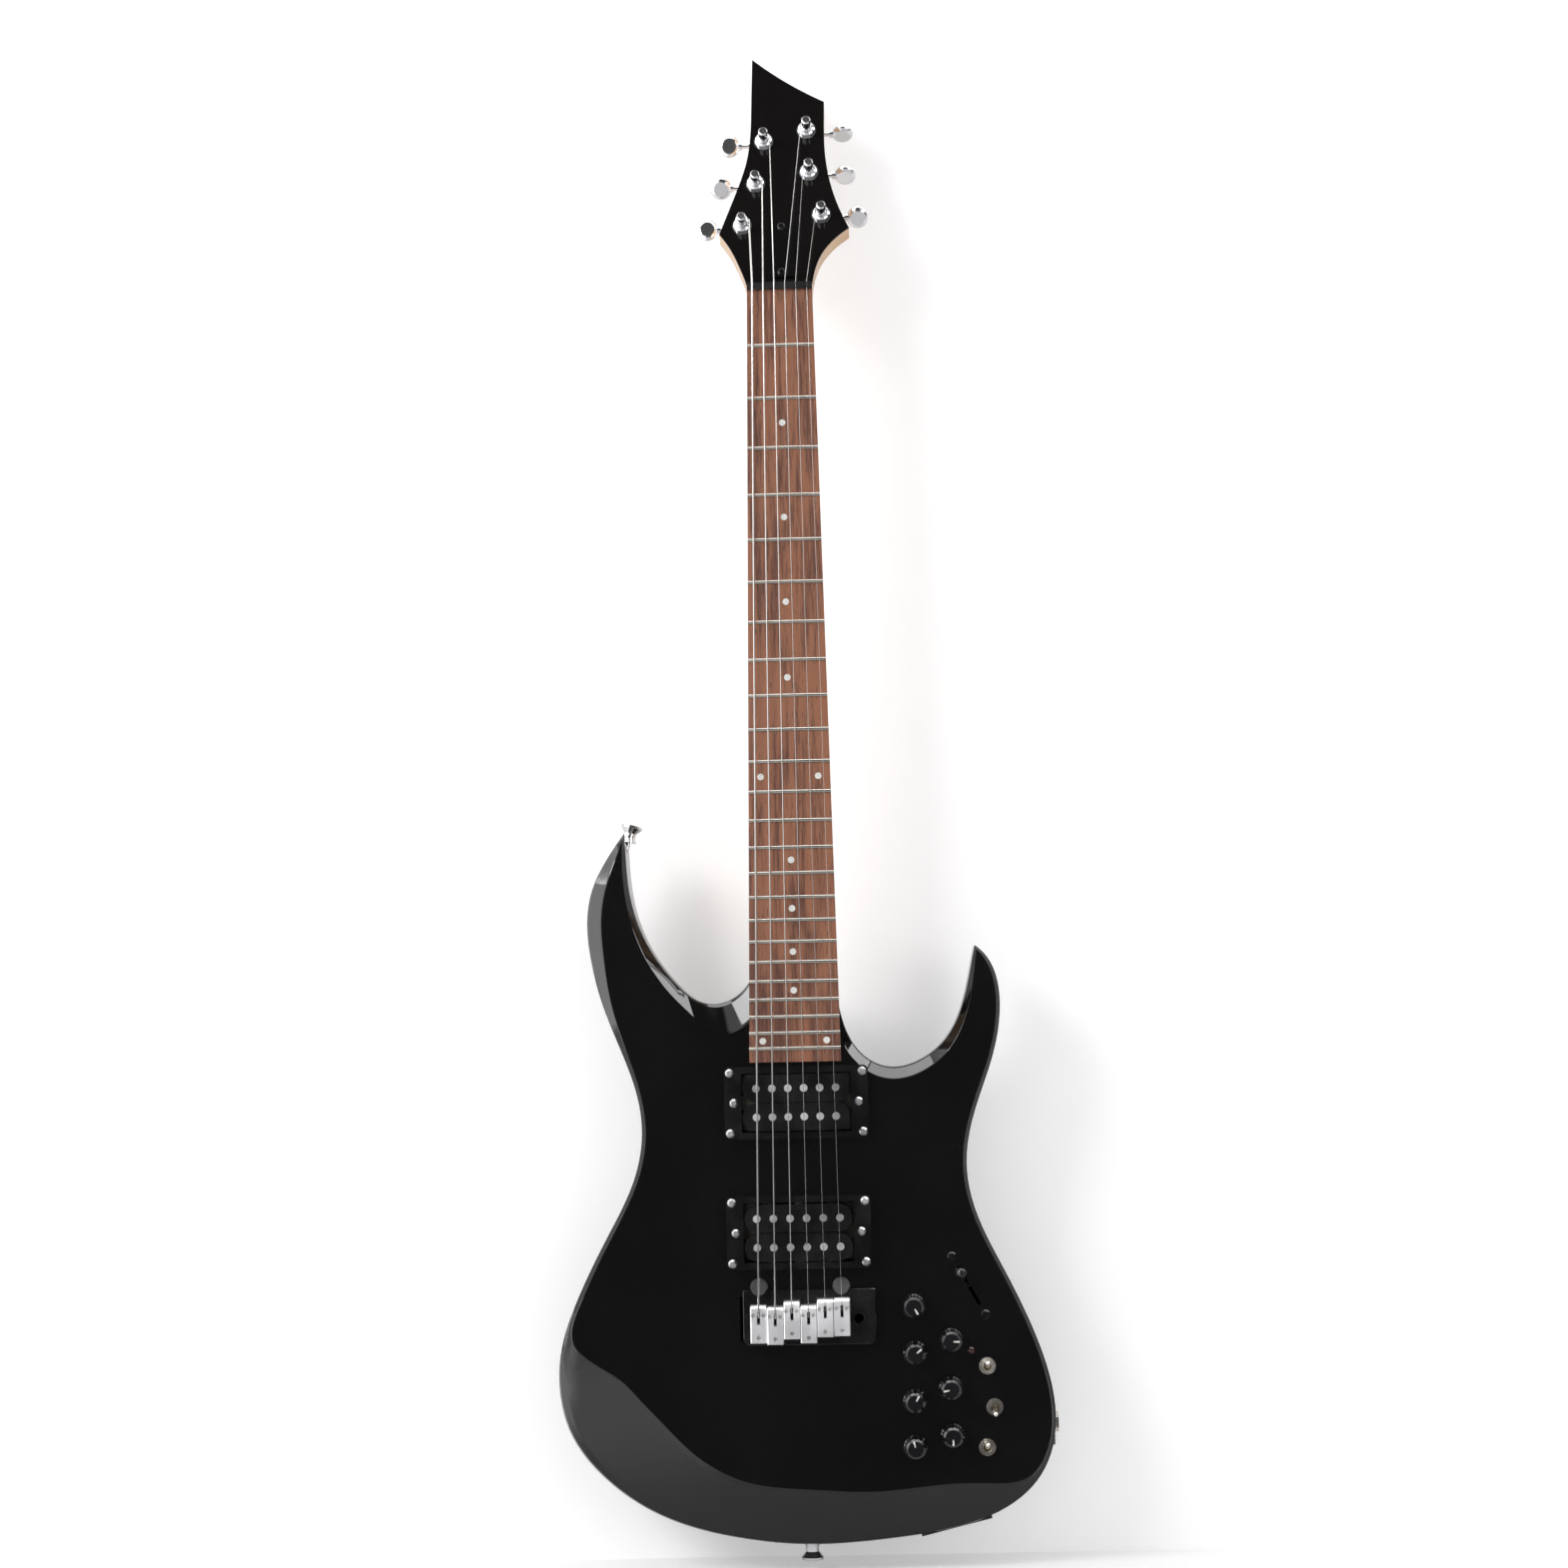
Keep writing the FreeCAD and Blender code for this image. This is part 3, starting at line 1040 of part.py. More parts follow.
def make_trem_springs():
    """Three tension springs from the claw to the block, each a coil body with its two hooks."""
    coils = []
    for row in (-1, 0, 1):
        x = row * size("spring_pitch_x")
        y = size("spring_y")
        start, end = size("claw_z") - 4.0, size("trem_block_front") + 5.0
        coil = Part.makeCylinder(size("spring_radius"), start - end, Vector(x, y, end)).cut(
            Part.makeCylinder(size("spring_radius") - size("spring_wire"), start - end, Vector(x, y, end)))
        wire_radius = size("spring_wire")
        reach = size("spring_radius") - wire_radius
        hook = Part.makeCylinder(wire_radius, 9.0, Vector(x, y, end - 8.5))
        cross = Part.makeBox(2 * reach + 0.6, 2 * wire_radius, 1.2,
                             Vector(x - reach - 0.3, y - wire_radius, end))
        far_cross = Part.makeBox(2 * reach + 0.6, 2 * wire_radius, 1.2,
                                 Vector(x - reach - 0.3, y - wire_radius, start - 1.2))
        far_hook = Part.makeCylinder(wire_radius, 5.0, Vector(x, y, start - 0.5))
        coils.append(solid(f"spring_{row}", coil.fuse([cross, hook, far_cross, far_hook]).removeSplitter()))
    return keep("trem_springs", group("spring_set", coils))


def make_spring_claw():
    """The claw that anchors the springs, drawn up by two long screws into the body."""
    z = size("claw_z")
    y = size("spring_y")
    plate = Part.makeBox(56, 11, 1.8, Vector(-28, y - 5, z))
    tools = [Part.makeCylinder(size("spring_wire") + 0.1, 6, Vector(row * size("spring_pitch_x"), y, z - 2))
             for row in (-1, 0, 1)]
    tools += [Part.makeCylinder(1.6, 6, Vector(side * 15, y, z - 2)) for side in (-1, 1)]
    items = [solid("claw_plate", plate.cut(tools))]
    for side in (-1, 1):
        shank = rod(f"claw_shank_{side}", 1.5, f"{-535 - z}", (side * 15, "$spring_y", "$claw_z"), "+Z")
        head = rod(f"claw_head_{side}", 3.0, 2.4, (side * 15, "$spring_y", "$claw_z"), "-Z")
        items.append(fuse(f"claw_screw_{side}", [shank, head]))
    return keep("spring_claw", group("claw_set", items))


# ---- plates drawn in a sketch ----------------------------------------------------------------

def sketch_on(body, role, name):
    plane = next(item for item in body.Origin.OriginFeatures if item.Role == role)
    sketch = body.newObject("Sketcher::SketchObject", name)
    sketch.AttachmentSupport = [(plane, "")]
    sketch.MapMode = "FlatFace"
    return sketch


def add_constraint(sketch, name, *terms, value):
    index = sketch.addConstraint(Sketcher.Constraint(*terms, 1.0))
    sketch.renameConstraint(index, name)
    sketch.setExpression(f"Constraints.{name}", re.sub(r"\$(\w+)", r"sizes.\1", str(value)))


def draw_rectangle(sketch, width, height):
    """A rectangle centred on the sketch's origin, its sides tied to two expressions."""
    corners = [Vector(-9, -5, 0), Vector(9, -5, 0), Vector(9, 5, 0), Vector(-9, 5, 0)]
    for start, end in zip(corners, corners[1:] + corners[:1]):
        sketch.addGeometry(Part.LineSegment(start, end), False)
    for side in range(4):
        sketch.addConstraint(Sketcher.Constraint("Coincident", side, 2, (side + 1) % 4, 1))
        sketch.addConstraint(Sketcher.Constraint("Horizontal" if side % 2 == 0 else "Vertical", side))
    sketch.addConstraint(Sketcher.Constraint("Symmetric", 0, 1, 1, 2, -1, 1))
    add_constraint(sketch, "width", "DistanceX", 0, 1, 0, 2, value=width)
    add_constraint(sketch, "height", "DistanceY", 1, 1, 1, 2, value=height)


def draw_circles(sketch, circles):
    """Circles of one sketch: each x, y and radius an expression."""
    for number, (x, y, radius) in enumerate(circles):
        start = Part.Circle(Vector(number + 1, number + 1, 0), Vector(0, 0, 1), 1.0)
        index = sketch.addGeometry(start, False)
        add_constraint(sketch, f"radius{number}", "Radius", index, value=radius)
        for kind, letter, expression in (("DistanceX", "across", x), ("DistanceY", "up", y)):
            add_constraint(sketch, f"{letter}{number}", kind, -1, 1, index, 3, value=expression)


def plate_body(label, spans, corner, at, circles=(), window=None):
    """A flat plate standing in XZ and growing towards -Y from its back face, with holes."""
    width, height, thick = spans
    body = doc.addObject("PartDesign::Body", label)
    outline = sketch_on(body, "XZ_Plane", label + "_outline")
    draw_rectangle(outline, width, height)
    pad = body.newObject("PartDesign::Pad", label + "_pad")
    pad.Profile = outline
    bind(pad, Length=thick)
    doc.recompute()
    upright = [f"Edge{number}" for number, edge in enumerate(pad.Shape.Edges, start=1)
               if abs(edge.tangentAt(edge.FirstParameter).y) > 0.99]
    rounding = body.newObject("PartDesign::Fillet", label + "_corners")
    rounding.Base = (pad, upright)
    bind(rounding, Radius=corner)
    body.Tip = rounding
    doc.recompute()
    cuts = []
    if window is not None:
        opening = sketch_on(body, "XZ_Plane", label + "_window")
        draw_rectangle(opening, *window)
        cuts.append(opening)
    if circles:
        drilled = sketch_on(body, "XZ_Plane", label + "_holes")
        draw_circles(drilled, circles)
        cuts.append(drilled)
    for sketch in cuts:
        before = body.Shape.Volume
        pocket = body.newObject("PartDesign::Pocket", sketch.Name + "_pocket")
        pocket.Profile = sketch
        pocket.Type = 1
        pocket.Reversed = True
        body.Tip = pocket
        doc.recompute()
        if body.Shape.Volume >= before:
            raise ValueError(f"{pocket.Name} removed nothing")
    return place(body, at, Rotation())


# ---- pickups ---------------------------------------------------------------------------------

PICKUPS = ("neck", "bridge")


def ring_top(pickup):
    return f"-${pickup}_ring_thick"


def bobbin_top(pickup):
    return f"-${pickup}_ring_thick - $bobbin_proud"


def make_pickup_rings():
    rings = []
    for pickup in PICKUPS:
        holes = [(f"{side} * $ring_screw_x", f"{end} * $ring_screw_z", "$small_screw_radius")
                 for side in (-1, 1) for end in (-1, 1)]
        holes += [(f"{side} * $height_screw_x", "0", "$small_screw_radius + 0.1") for side in (-1, 1)]
        rings.append(plate_body(f"{pickup}_ring", ("$ring_width", "$ring_height", f"${pickup}_ring_thick"),
                                "$ring_corner", (0, 0, f"${pickup}_pickup_z"), holes,
                                ("$ring_window_width", "$ring_window_height")))
    return keep("pickup_rings", group("ring_set", rings))


def coil_z(pickup, row):
    return f"${pickup}_pickup_z + {row} * ($bobbin_height + $coil_gap) / 2"


def pole_spots(pickup):
    return [(f"{number - 2.5} * ${pickup}_pole_pitch", coil_z(pickup, row), row)
            for row in (-1, 1) for number in range(STRINGS)]


def make_pickup_bobbins():
    """Four coil bobbins with round ends; each stands proud of its ring."""
    coils = []
    for pickup in PICKUPS:
        top = bobbin_top(pickup)
        for row in (-1, 1):
            name = f"{pickup}_coil_{'upper' if row > 0 else 'lower'}"
            z = coil_z(pickup, row)
            straight = "$bobbin_width - $bobbin_height"
            depth = f"$bobbin_depth + ${pickup}_ring_thick"
            middle = block(name + "_middle", (straight, depth, "$bobbin_height"),
                           (f"-({straight}) / 2", top, f"{z} - $bobbin_height / 2"))
            ends = [rod(f"{name}_end_{side}", "$bobbin_height / 2", depth,
                        (f"{side} * ({straight}) / 2", top, z)) for side in (-1, 1)]
            holes = [rod(f"{name}_pole_bore_{number}", "$pole_radius", depth, (x, top, pole_z))
                     for number, (x, pole_z, pole_row) in enumerate(pole_spots(pickup)) if pole_row == row]
            coils.append(cut(name, fuse(name + "_form", [middle] + ends), holes))
    return keep("pickup_bobbins", group("bobbin_set", coils))


def make_pickup_poles():
    """Pole pieces: slotted screws in the outer-facing coil, plain slugs in the other."""
    poles = []
    for pickup, screw_row in (("neck", 1), ("bridge", -1)):
        for number, (x, z, row) in enumerate(pole_spots(pickup)):
            name = f"{pickup}_pole_{number}"
            is_screw = row == screw_row
            proud = "$pole_proud" if is_screw else "$pole_proud / 4"
            top = f"{bobbin_top(pickup)} - {proud}"
            length = f"$bobbin_depth + ${pickup}_ring_thick + {proud}"
            pole = rod(name, "$pole_radius", length, (x, top, z))
            if is_screw:
                slot = block(name + "_slot", ("2 * $pole_radius", "0.7", "0.7"),
                             (f"{x} - $pole_radius", top, f"{z} - 0.35"))
                pole = cut(name + "_slotted", pole, [slot])
            poles.append(pole)
    return keep("pickup_poles", group("pole_set", poles))


def make_pickup_baseplates():
    """The metal base under each pair of coils, with an ear at each end for the height screws."""
    plates = []
    for pickup in PICKUPS:
        circles = [(f"{side} * $height_screw_x", "0", "$small_screw_radius + 0.05") for side in (-1, 1)]
        z = f"${pickup}_pickup_z"
        y = f"{bobbin_top(pickup)} + $bobbin_depth + ${pickup}_ring_thick + $baseplate_thick"
        extent = ("$bobbin_width", "$ring_window_height - 2", "$baseplate_thick")
        plates.append(plate_body(f"{pickup}_base", extent, 2.0, (0, y, z)))
        for side in (-1, 1):
            ear = block(f"{pickup}_ear_{side}", ("$baseplate_ear", "$baseplate_thick", "9"),
                        (f"{side} * ($bobbin_width / 2 + $baseplate_ear / 2) - $baseplate_ear / 2",
                         f"{y} - $baseplate_thick", f"{z} - 4.5"))
            hole = rod(f"{pickup}_ear_hole_{side}", "$small_screw_radius + 0.05", 6,
                       (circles[0 if side < 0 else 1][0], f"{y} - $baseplate_thick - 2", z))
            plates.append(cut(f"{pickup}_ear_cut_{side}", ear, [hole]))
    return keep("pickup_baseplates", group("base_set", plates))


def pan_screw(name, spot, length, head="$small_screw_head", toward="+Y"):
    """A small cross-head screw: spot is under its head, and toward is the way it drives."""
    x, y, z = spot
    away = {"+Y": "-Y", "-Y": "+Y"}[toward]
    shank = rod(name + "_shank", "$small_screw_radius", length, spot, toward)
    cap = cone(name + "_cap", head, f"{head} * 0.62", 1.3, spot, away)
    tip = f"{y} - 1.3" if away == "-Y" else f"{y} + 0.5"
    slots = [block(f"{name}_slot_{turn}", (long, 0.8, wide), (f"{x} - {long} / 2", tip, f"{z} - {wide} / 2"))
             for turn, (long, wide) in enumerate(((3.0, 0.6), (0.6, 3.0)))]
    return cut(name, fuse(name + "_blank", [shank, cap]), slots)


def make_pickup_screws():
    """Eight ring screws into the body and four height screws down to the baseplates."""
    screws = []
    for number, (ring, x, z) in enumerate(ring_screw_spots()):
        screws.append(pan_screw(f"ring_screw_{number}", (x, ring_top(ring), z), f"${ring}_ring_thick + 10"))
    for number, (ring, x, z) in enumerate(height_screw_spots()):
        screws.append(pan_screw(f"height_screw_{number}", (x, ring_top(ring), z),
                                f"$bobbin_depth + ${ring}_ring_thick + $baseplate_thick"))
    return keep("pickup_screws", group("pickup_screw_set", screws))


# ---- controls --------------------------------------------------------------------------------

def make_knob(index):
    """A turned knob with a domed top and a fluted skirt, and the potentiometer shaft it grips."""
    x, z, pointer = KNOBS[index]
    body = doc.addObject("PartDesign::Body", f"knob_form_{index}")
    profile = sketch_on(body, "XZ_Plane", f"knob_profile_{index}")
    height, radius, bore = size("knob_height"), size("knob_radius"), size("pot_shaft_radius")
    corners = [(bore, 0), (radius, 0), (radius, 2.6), (radius - 0.9, 3.6), (radius - 1.3, height - 1.4),
               (radius - 2.6, height), (0, height), (0, height - 3.0), (bore, height - 3.0)]
    for start, end in zip(corners, corners[1:] + corners[:1]):
        profile.addGeometry(Part.LineSegment(Vector(*start, 0), Vector(*end, 0)), False)
    for side in range(len(corners)):
        profile.addConstraint(Sketcher.Constraint("Coincident", side, 2, (side + 1) % len(corners), 1))
    add_constraint(profile, "bore", "DistanceX", -1, 1, 0, 1, value="$pot_shaft_radius")
    add_constraint(profile, "radius", "DistanceX", -1, 1, 0, 2, value="$knob_radius")
    add_constraint(profile, "height", "DistanceY", -1, 1, 6, 1, value="$knob_height")
    turned = body.newObject("PartDesign::Revolution", f"knob_turned_{index}")
    turned.Profile = profile
    turned.ReferenceAxis = (profile, ["V_Axis"])
    turned.Angle = 360.0
    body.Tip = turned
    doc.recompute()
    flute = sketch_on(body, "XY_Plane", f"knob_flute_{index}")
    draw_circles(flute, [("$knob_radius - 0.75", "0", "0.5")])
    groove = body.newObject("PartDesign::Pocket", f"knob_groove_{index}")
    groove.Profile = flute
    groove.Type = 1
    groove.Reversed = True
    body.Tip = groove
    doc.recompute()
    ring = body.newObject("PartDesign::PolarPattern", f"knob_flutes_{index}")
    ring.Originals = [groove]
    ring.Axis = (flute, ["N_Axis"])
    ring.Angle = 360.0
    ring.Occurrences = 20
    body.Tip = ring
    doc.recompute()
    body.Placement = Placement(Vector(0, 0, size("knob_lift")), Rotation())
    shaft = rod(f"pot_shaft_{index}", "$pot_shaft_radius", "$knob_height - 3 + $knob_lift + $panel_thick",
                (0, 0, "-$panel_thick"), "+Z")
    shaft.Placement = Placement(shaft.Placement.Base, Rotation())
    label = f"knob_{index + 1}"
    whole = group(f"knob_whole_{index}", [body, shaft])
    turn = Rotation(Vector(1, 0, 0), 90) * Rotation(Vector(0, 0, 1), -pointer)
    place(whole, (x, 0, z), turn)
    return keep(label, whole)


def make_pots():
    """Potentiometers under the panel: can, threaded bushing up to the face, three lugs."""
    items = []
    for index, (x, z, _) in enumerate(KNOBS):
        can = rod(f"pot_can_{index}", "$pot_radius", "$pot_depth", (x, "$panel_thick", z))
        bushing = rod(f"pot_bushing_{index}", "$pot_bushing_radius", "$panel_thick + $knob_lift / 2",
                      (x, "-$knob_lift / 2", z))
        lugs = [block(f"pot_lug_{index}_{lug}", (6, 1.0, 1.6), (f"{x} + $pot_radius - 2", "$panel_thick + 3",
                                                              z + lug * 4 - 0.8)) for lug in (-1, 0, 1)]
        bore = rod(f"pot_bore_in_{index}", "$pot_shaft_radius + $running_gap", "$panel_thick + $knob_lift",
                   (x, "-$knob_lift", z))
        items.append(cut(f"pot_{index}", fuse(f"pot_solid_{index}", [can, bushing] + lugs), [bore]))
    return keep("pots", group("pot_set", items))


def make_toggle_switches():
    """Miniature toggles: body under the panel, threaded bushing through it, nut and washer on the face."""
    items = []
    for index, (x, z) in enumerate(TOGGLES):
        case = block(f"toggle_case_{index}", (8, 10, 12.5), (x - 4, "$panel_thick", z - 6.25))
        bushing = rod(f"toggle_bushing_{index}", "$toggle_bushing_radius", "$panel_thick + $toggle_rise",
                      (x, "-$toggle_rise", z))
        lugs = [block(f"toggle_lug_{index}_{lug}", (1.2, 4, 0.8),
                      (x - 0.6, "$panel_thick + 10", z + 4.4 * lug - 0.4))
                for lug in (-1, 0, 1)]
        washer = rod(f"toggle_washer_{index}", "$toggle_nut_radius + 0.4", 0.6, (x, -0.6, z))
        nut = doc.addObject("Part::Prism", f"toggle_nut_{index}")
        bind(nut, Circumradius="$toggle_nut_radius", Height=2.0)
        place(nut, (x, -0.6, z), TURNS["-Y"])
        well = cone(f"toggle_well_{index}", "$toggle_lever_radius + 1.25", "$toggle_lever_radius + 0.55",
                    "$toggle_rise + 1.2", (x, "-$toggle_rise", z))
        throat = rod(f"toggle_throat_{index}", "$toggle_lever_radius + 0.75", "$panel_thick + 2",
                     (x, "-0.5", z))
        whole = fuse(f"toggle_solid_{index}", [case, bushing, washer, nut] + lugs)
        items.append(cut(f"toggle_{index}", whole, [well, throat]))
    return keep("toggle_switches", group("toggle_set", items))


TOGGLE_REST = (-1, 1, -1)
TOGGLE_LEAN = 11.0


def make_toggle_lever(index):
    """A bat lever on its ball, leaning to the end of its throw."""
    x, z = TOGGLES[index]
    lean = TOGGLE_REST[index] * TOGGLE_LEAN
    frame = Placement(Vector(x, 1.4, z), TURNS["-Y"] * Rotation(Vector(1, 0, 0), lean))
    radius = size("toggle_lever_radius")
    out = size("toggle_rise") + size("toggle_lever_length") + 1.4
    ball = Part.makeSphere(radius + 0.6)
    stem = Part.makeCone(radius * 0.75, radius, out - radius, Vector(0, 0, 0))
    tip = Part.makeSphere(radius, Vector(0, 0, out - radius))
    return keep(f"toggle_lever_{index + 1}", solid(f"lever_{index}", ball.fuse([stem, tip]), frame))


def selector_frame():
    """Local X along the blade's throw, local Z out of the face, origin on the face."""
    x, z = selector_centre()
    turn = Rotation(Vector(1, 0, 0), 90) * Rotation(Vector(0, 0, 1), selector_angle())
    return Placement(Vector(x, 0, z), turn)


SELECTOR_SLOT = {"length": 27.0, "width": 2.2, "pivot": -15.0, "screws": 20.75}
SELECTOR_REST = 22.0


def selector_openings():
    length, width = SELECTOR_SLOT["length"], SELECTOR_SLOT["width"]
    slot = Part.makeBox(length, width, size("panel_thick") + 1,
                        Vector(-length / 2, -width / 2, -size("panel_thick") - 0.5))
    bores = [Part.makeCylinder(1.5, size("panel_thick") + 1, Vector(side * SELECTOR_SLOT["screws"], 0, 0.5),
                               Vector(0, 0, -1)) for side in (-1, 1)]
    return [solid("selector_slot", slot, selector_frame())] + [
        solid(f"selector_screw_bore_{number}", bore, selector_frame()) for number, bore in enumerate(bores)]


def make_selector_switch():
    """The blade switch's frame and wafer under the panel, with its two mounting screws."""
    deep = size("panel_thick")
    frame_plate = Part.makeBox(47, 11, 1.6, Vector(-23.5, -5.5, -deep - 1.6))
    window = Part.makeBox(30, 3.2, 3, Vector(-15, -1.6, -deep - 2.2))
    wafer = Part.makeBox(38, 1.6, 16, Vector(-19, 3.9, -deep - 17.6))
    pin = Part.makeCylinder(1.2, 9.4, Vector(0, -5.5, SELECTOR_SLOT["pivot"]), Vector(0, 1, 0))
    cheek = Part.makeBox(12, 1.6, 16, Vector(-6, -5.5, -deep - 17.6))
    bores = [Part.makeCylinder(1.5, 4, Vector(side * SELECTOR_SLOT["screws"], 0, -deep - 2))
             for side in (-1, 1)]
    carrier = frame_plate.cut([window] + bores).fuse([wafer, cheek, pin]).removeSplitter()
    items = [solid("selector_frame_solid", carrier, selector_frame())]
    for number, side in enumerate((-1, 1)):
        screw = Part.makeCylinder(1.5, deep + 1.6, Vector(side * SELECTOR_SLOT["screws"], 0, -deep - 1.6))
        cap = Part.makeCone(2.9, 2.0, 1.1, Vector(side * SELECTOR_SLOT["screws"], 0, 0))
        items.append(solid(f"selector_screw_{number}", screw.fuse(cap), selector_frame()))
    return keep("selector_switch", group("selector_set", items))


def make_selector_lever():
    """The blade and its tip, turning on the switch's pin."""
    pivot = SELECTOR_SLOT["pivot"]
    blade = Part.makeBox(4.6, 1.0, 24.0, Vector(-2.3, -0.5, 0))
    eye = Part.makeCylinder(4.0, 1.6, Vector(0, -0.8, 0), Vector(0, 1, 0))
    tip = Part.makeCone(2.6, 3.6, 7.5, Vector(0, 0, 18.0)).fuse(
        Part.makeSphere(3.6, Vector(0, 0, 25.5)).cut(Part.makeBox(9, 9, 9, Vector(-4.5, -4.5, 16.5))))
    bore = Part.makeCylinder(1.2 + size("running_gap"), 6, Vector(0, -3, 0), Vector(0, 1, 0))
    shape = blade.fuse([eye, tip]).cut(bore).removeSplitter()
    frame = selector_frame() * Placement(Vector(0, 0, pivot), Rotation(Vector(0, 1, 0), -SELECTOR_REST))
    return keep("selector_lever", solid("selector_blade", shape, frame))


def make_indicator():
    lens = rod("led_lens", 2.4, "$panel_thick", (LED[0], "0", LED[1]))
    dome = doc.addObject("Part::Sphere", "led_dome")
    bind(dome, Radius=2.4)
    place(dome, (LED[0], 0.6, LED[1]))
    return keep("indicator_light", fuse("led", [lens, dome]))


def make_circuit_board():
    """The preamp board that stands behind the pots, with its battery beside it."""
    board = block("preamp_board", (44, 1.6, 62), (66, "$panel_thick + $pot_depth + 3.5", -738))
    chips = [block(f"chip_{row}", (14, 3, 7), (74 + 20 * (row % 2), "$panel_thick + $pot_depth + 5.1",
                                               -731 + 16 * row)) for row in range(3)]
    battery = block("battery", (26, 14, 17), (69, "$panel_thick + 19", -656))
    return keep("circuit_board", group("board_set", [fuse("board_with_chips", [board] + chips), battery]))


# ---- jack, strap buttons, plates and covers --------------------------------------------------

def make_output_jack():
    """Barrel jack through the rim: flange plate, hexagon nut outside, threaded barrel inside."""
    y = "$body_depth / 2"
    flange = block("jack_flange", (1.6, 14.6, 27),
                   ("$jack_flat_x", "$body_depth / 2 - 7.3", "$jack_z - 13.5"))
    nut = doc.addObject("Part::Prism", "jack_nut")
    bind(nut, Circumradius="$jack_barrel_radius + 0.4", Height=2.6)
    place(nut, ("$jack_flat_x + 1.6", y, "$jack_z"), TURNS["+X"])
    barrel = rod("jack_barrel", "$jack_barrel_radius", "$jack_length",
                 ("$jack_flat_x - $jack_length", y, "$jack_z"), "+X")
    bore = rod("jack_hole", "$jack_bore_radius", "$jack_length",
               ("$jack_flat_x + 5 - $jack_length", y, "$jack_z"), "+X")
    holes = [rod(f"jack_flange_hole_{end}", "$small_screw_radius", 4,
                 ("$jack_flat_x - 1", y, f"$jack_z + {end} * 9.4"), "+X") for end in (-1, 1)]
    return keep("output_jack", cut("jack_cut", fuse("jack_solid", [flange, nut, barrel]), [bore] + holes))


def make_strap_buttons():
    """Flared strap buttons, each with the wood screw that holds it."""
    head, neck = size("strap_head_radius"), size("strap_neck_radius")
    length = size("strap_length")
    items = []
    for index, (at, toward) in enumerate(strap_spots()):
        spin = Placement(at, Rotation(Vector(0, 0, 1), toward))
        profile = Part.makePolygon([Vector(*point) for point in (
            (0, 0, 0), (neck + 1.6, 0, 0), (neck, 0, 3.0), (neck, 0, length - 5.5), (head, 0, length - 2.0),
            (head - 0.4, 0, length - 0.4), (head - 1.6, 0, length), (0, 0, length), (0, 0, 0))])
        flare = Part.Face(profile).revolve(Vector(), Vector(0, 0, 1), 360)
        sink = Part.makeCone(size("strap_screw_radius"), 4.0, 3.0, Vector(0, 0, length - 3.0))
        shank_hole = Part.makeCylinder(size("strap_screw_radius"), length)
        items.append(solid(f"strap_button_{index}", flare.cut([sink, shank_hole]), spin))
        shank = Part.makeCylinder(size("strap_screw_radius"), length - 2 + size("strap_screw_length"),
                                  Vector(0, 0, -size("strap_screw_length")))
        cap = Part.makeCone(size("strap_screw_radius"), 3.6, 2.7, Vector(0, 0, length - 3.0))
        cross = [Part.makeBox(4, 0.8, 2, Vector(-2, -0.4, length - 1.3)),
                 Part.makeBox(0.8, 4, 2, Vector(-0.4, -2, length - 1.3))]
        items.append(solid(f"strap_screw_{index}", shank.fuse(cap).cut(cross), spin))
    return keep("strap_buttons", group("strap_set", items))


def make_neck_plate():
    circles = [(f"{side} * $neck_screw_spread", f"{end} * $neck_screw_spread", "$neck_screw_radius")
               for side in (-1, 1) for end in (-1, 1)]
    return keep("neck_plate", plate_body(
        "neck_plate_form", ("$neck_plate_width", "$neck_plate_height", "$neck_plate_thick"), 5.0,
        (0, "$body_depth + $neck_plate_thick", neck_plate_z()), circles))


def make_neck_screws():
    """Four bolts through plate and body into the heel, driven from the back."""
    screws = []
    for side in (-1, 1):
        for end in (-1, 1):
            name = f"neck_screw_{side}_{end}"
            spot = (f"{side} * $neck_screw_spread", "$body_depth + $neck_plate_thick",
                    f"{neck_plate_z()} + {end} * $neck_screw_spread")
            shank = rod(name + "_shank", "$neck_screw_radius",
                        "$body_depth + $neck_plate_thick - $heel_depth + 12", spot, "-Y")
            cap = cone(name + "_cap", "$neck_screw_head", "$neck_screw_head * 0.7", 2.2, spot, "+Y")
            slots = [block(f"{name}_slot_{turn}", (long, 1.4, wide),
                           (f"{spot[0]} - {long / 2}", f"{spot[1]} + 1.0", f"{spot[2]} - {wide / 2}"))
                     for turn, (long, wide) in enumerate(((5.0, 1.0), (1.0, 5.0)))]
            screws.append(cut(name, fuse(name + "_blank", [shank, cap]), slots))
    return keep("neck_screws", group("neck_screw_set", screws))


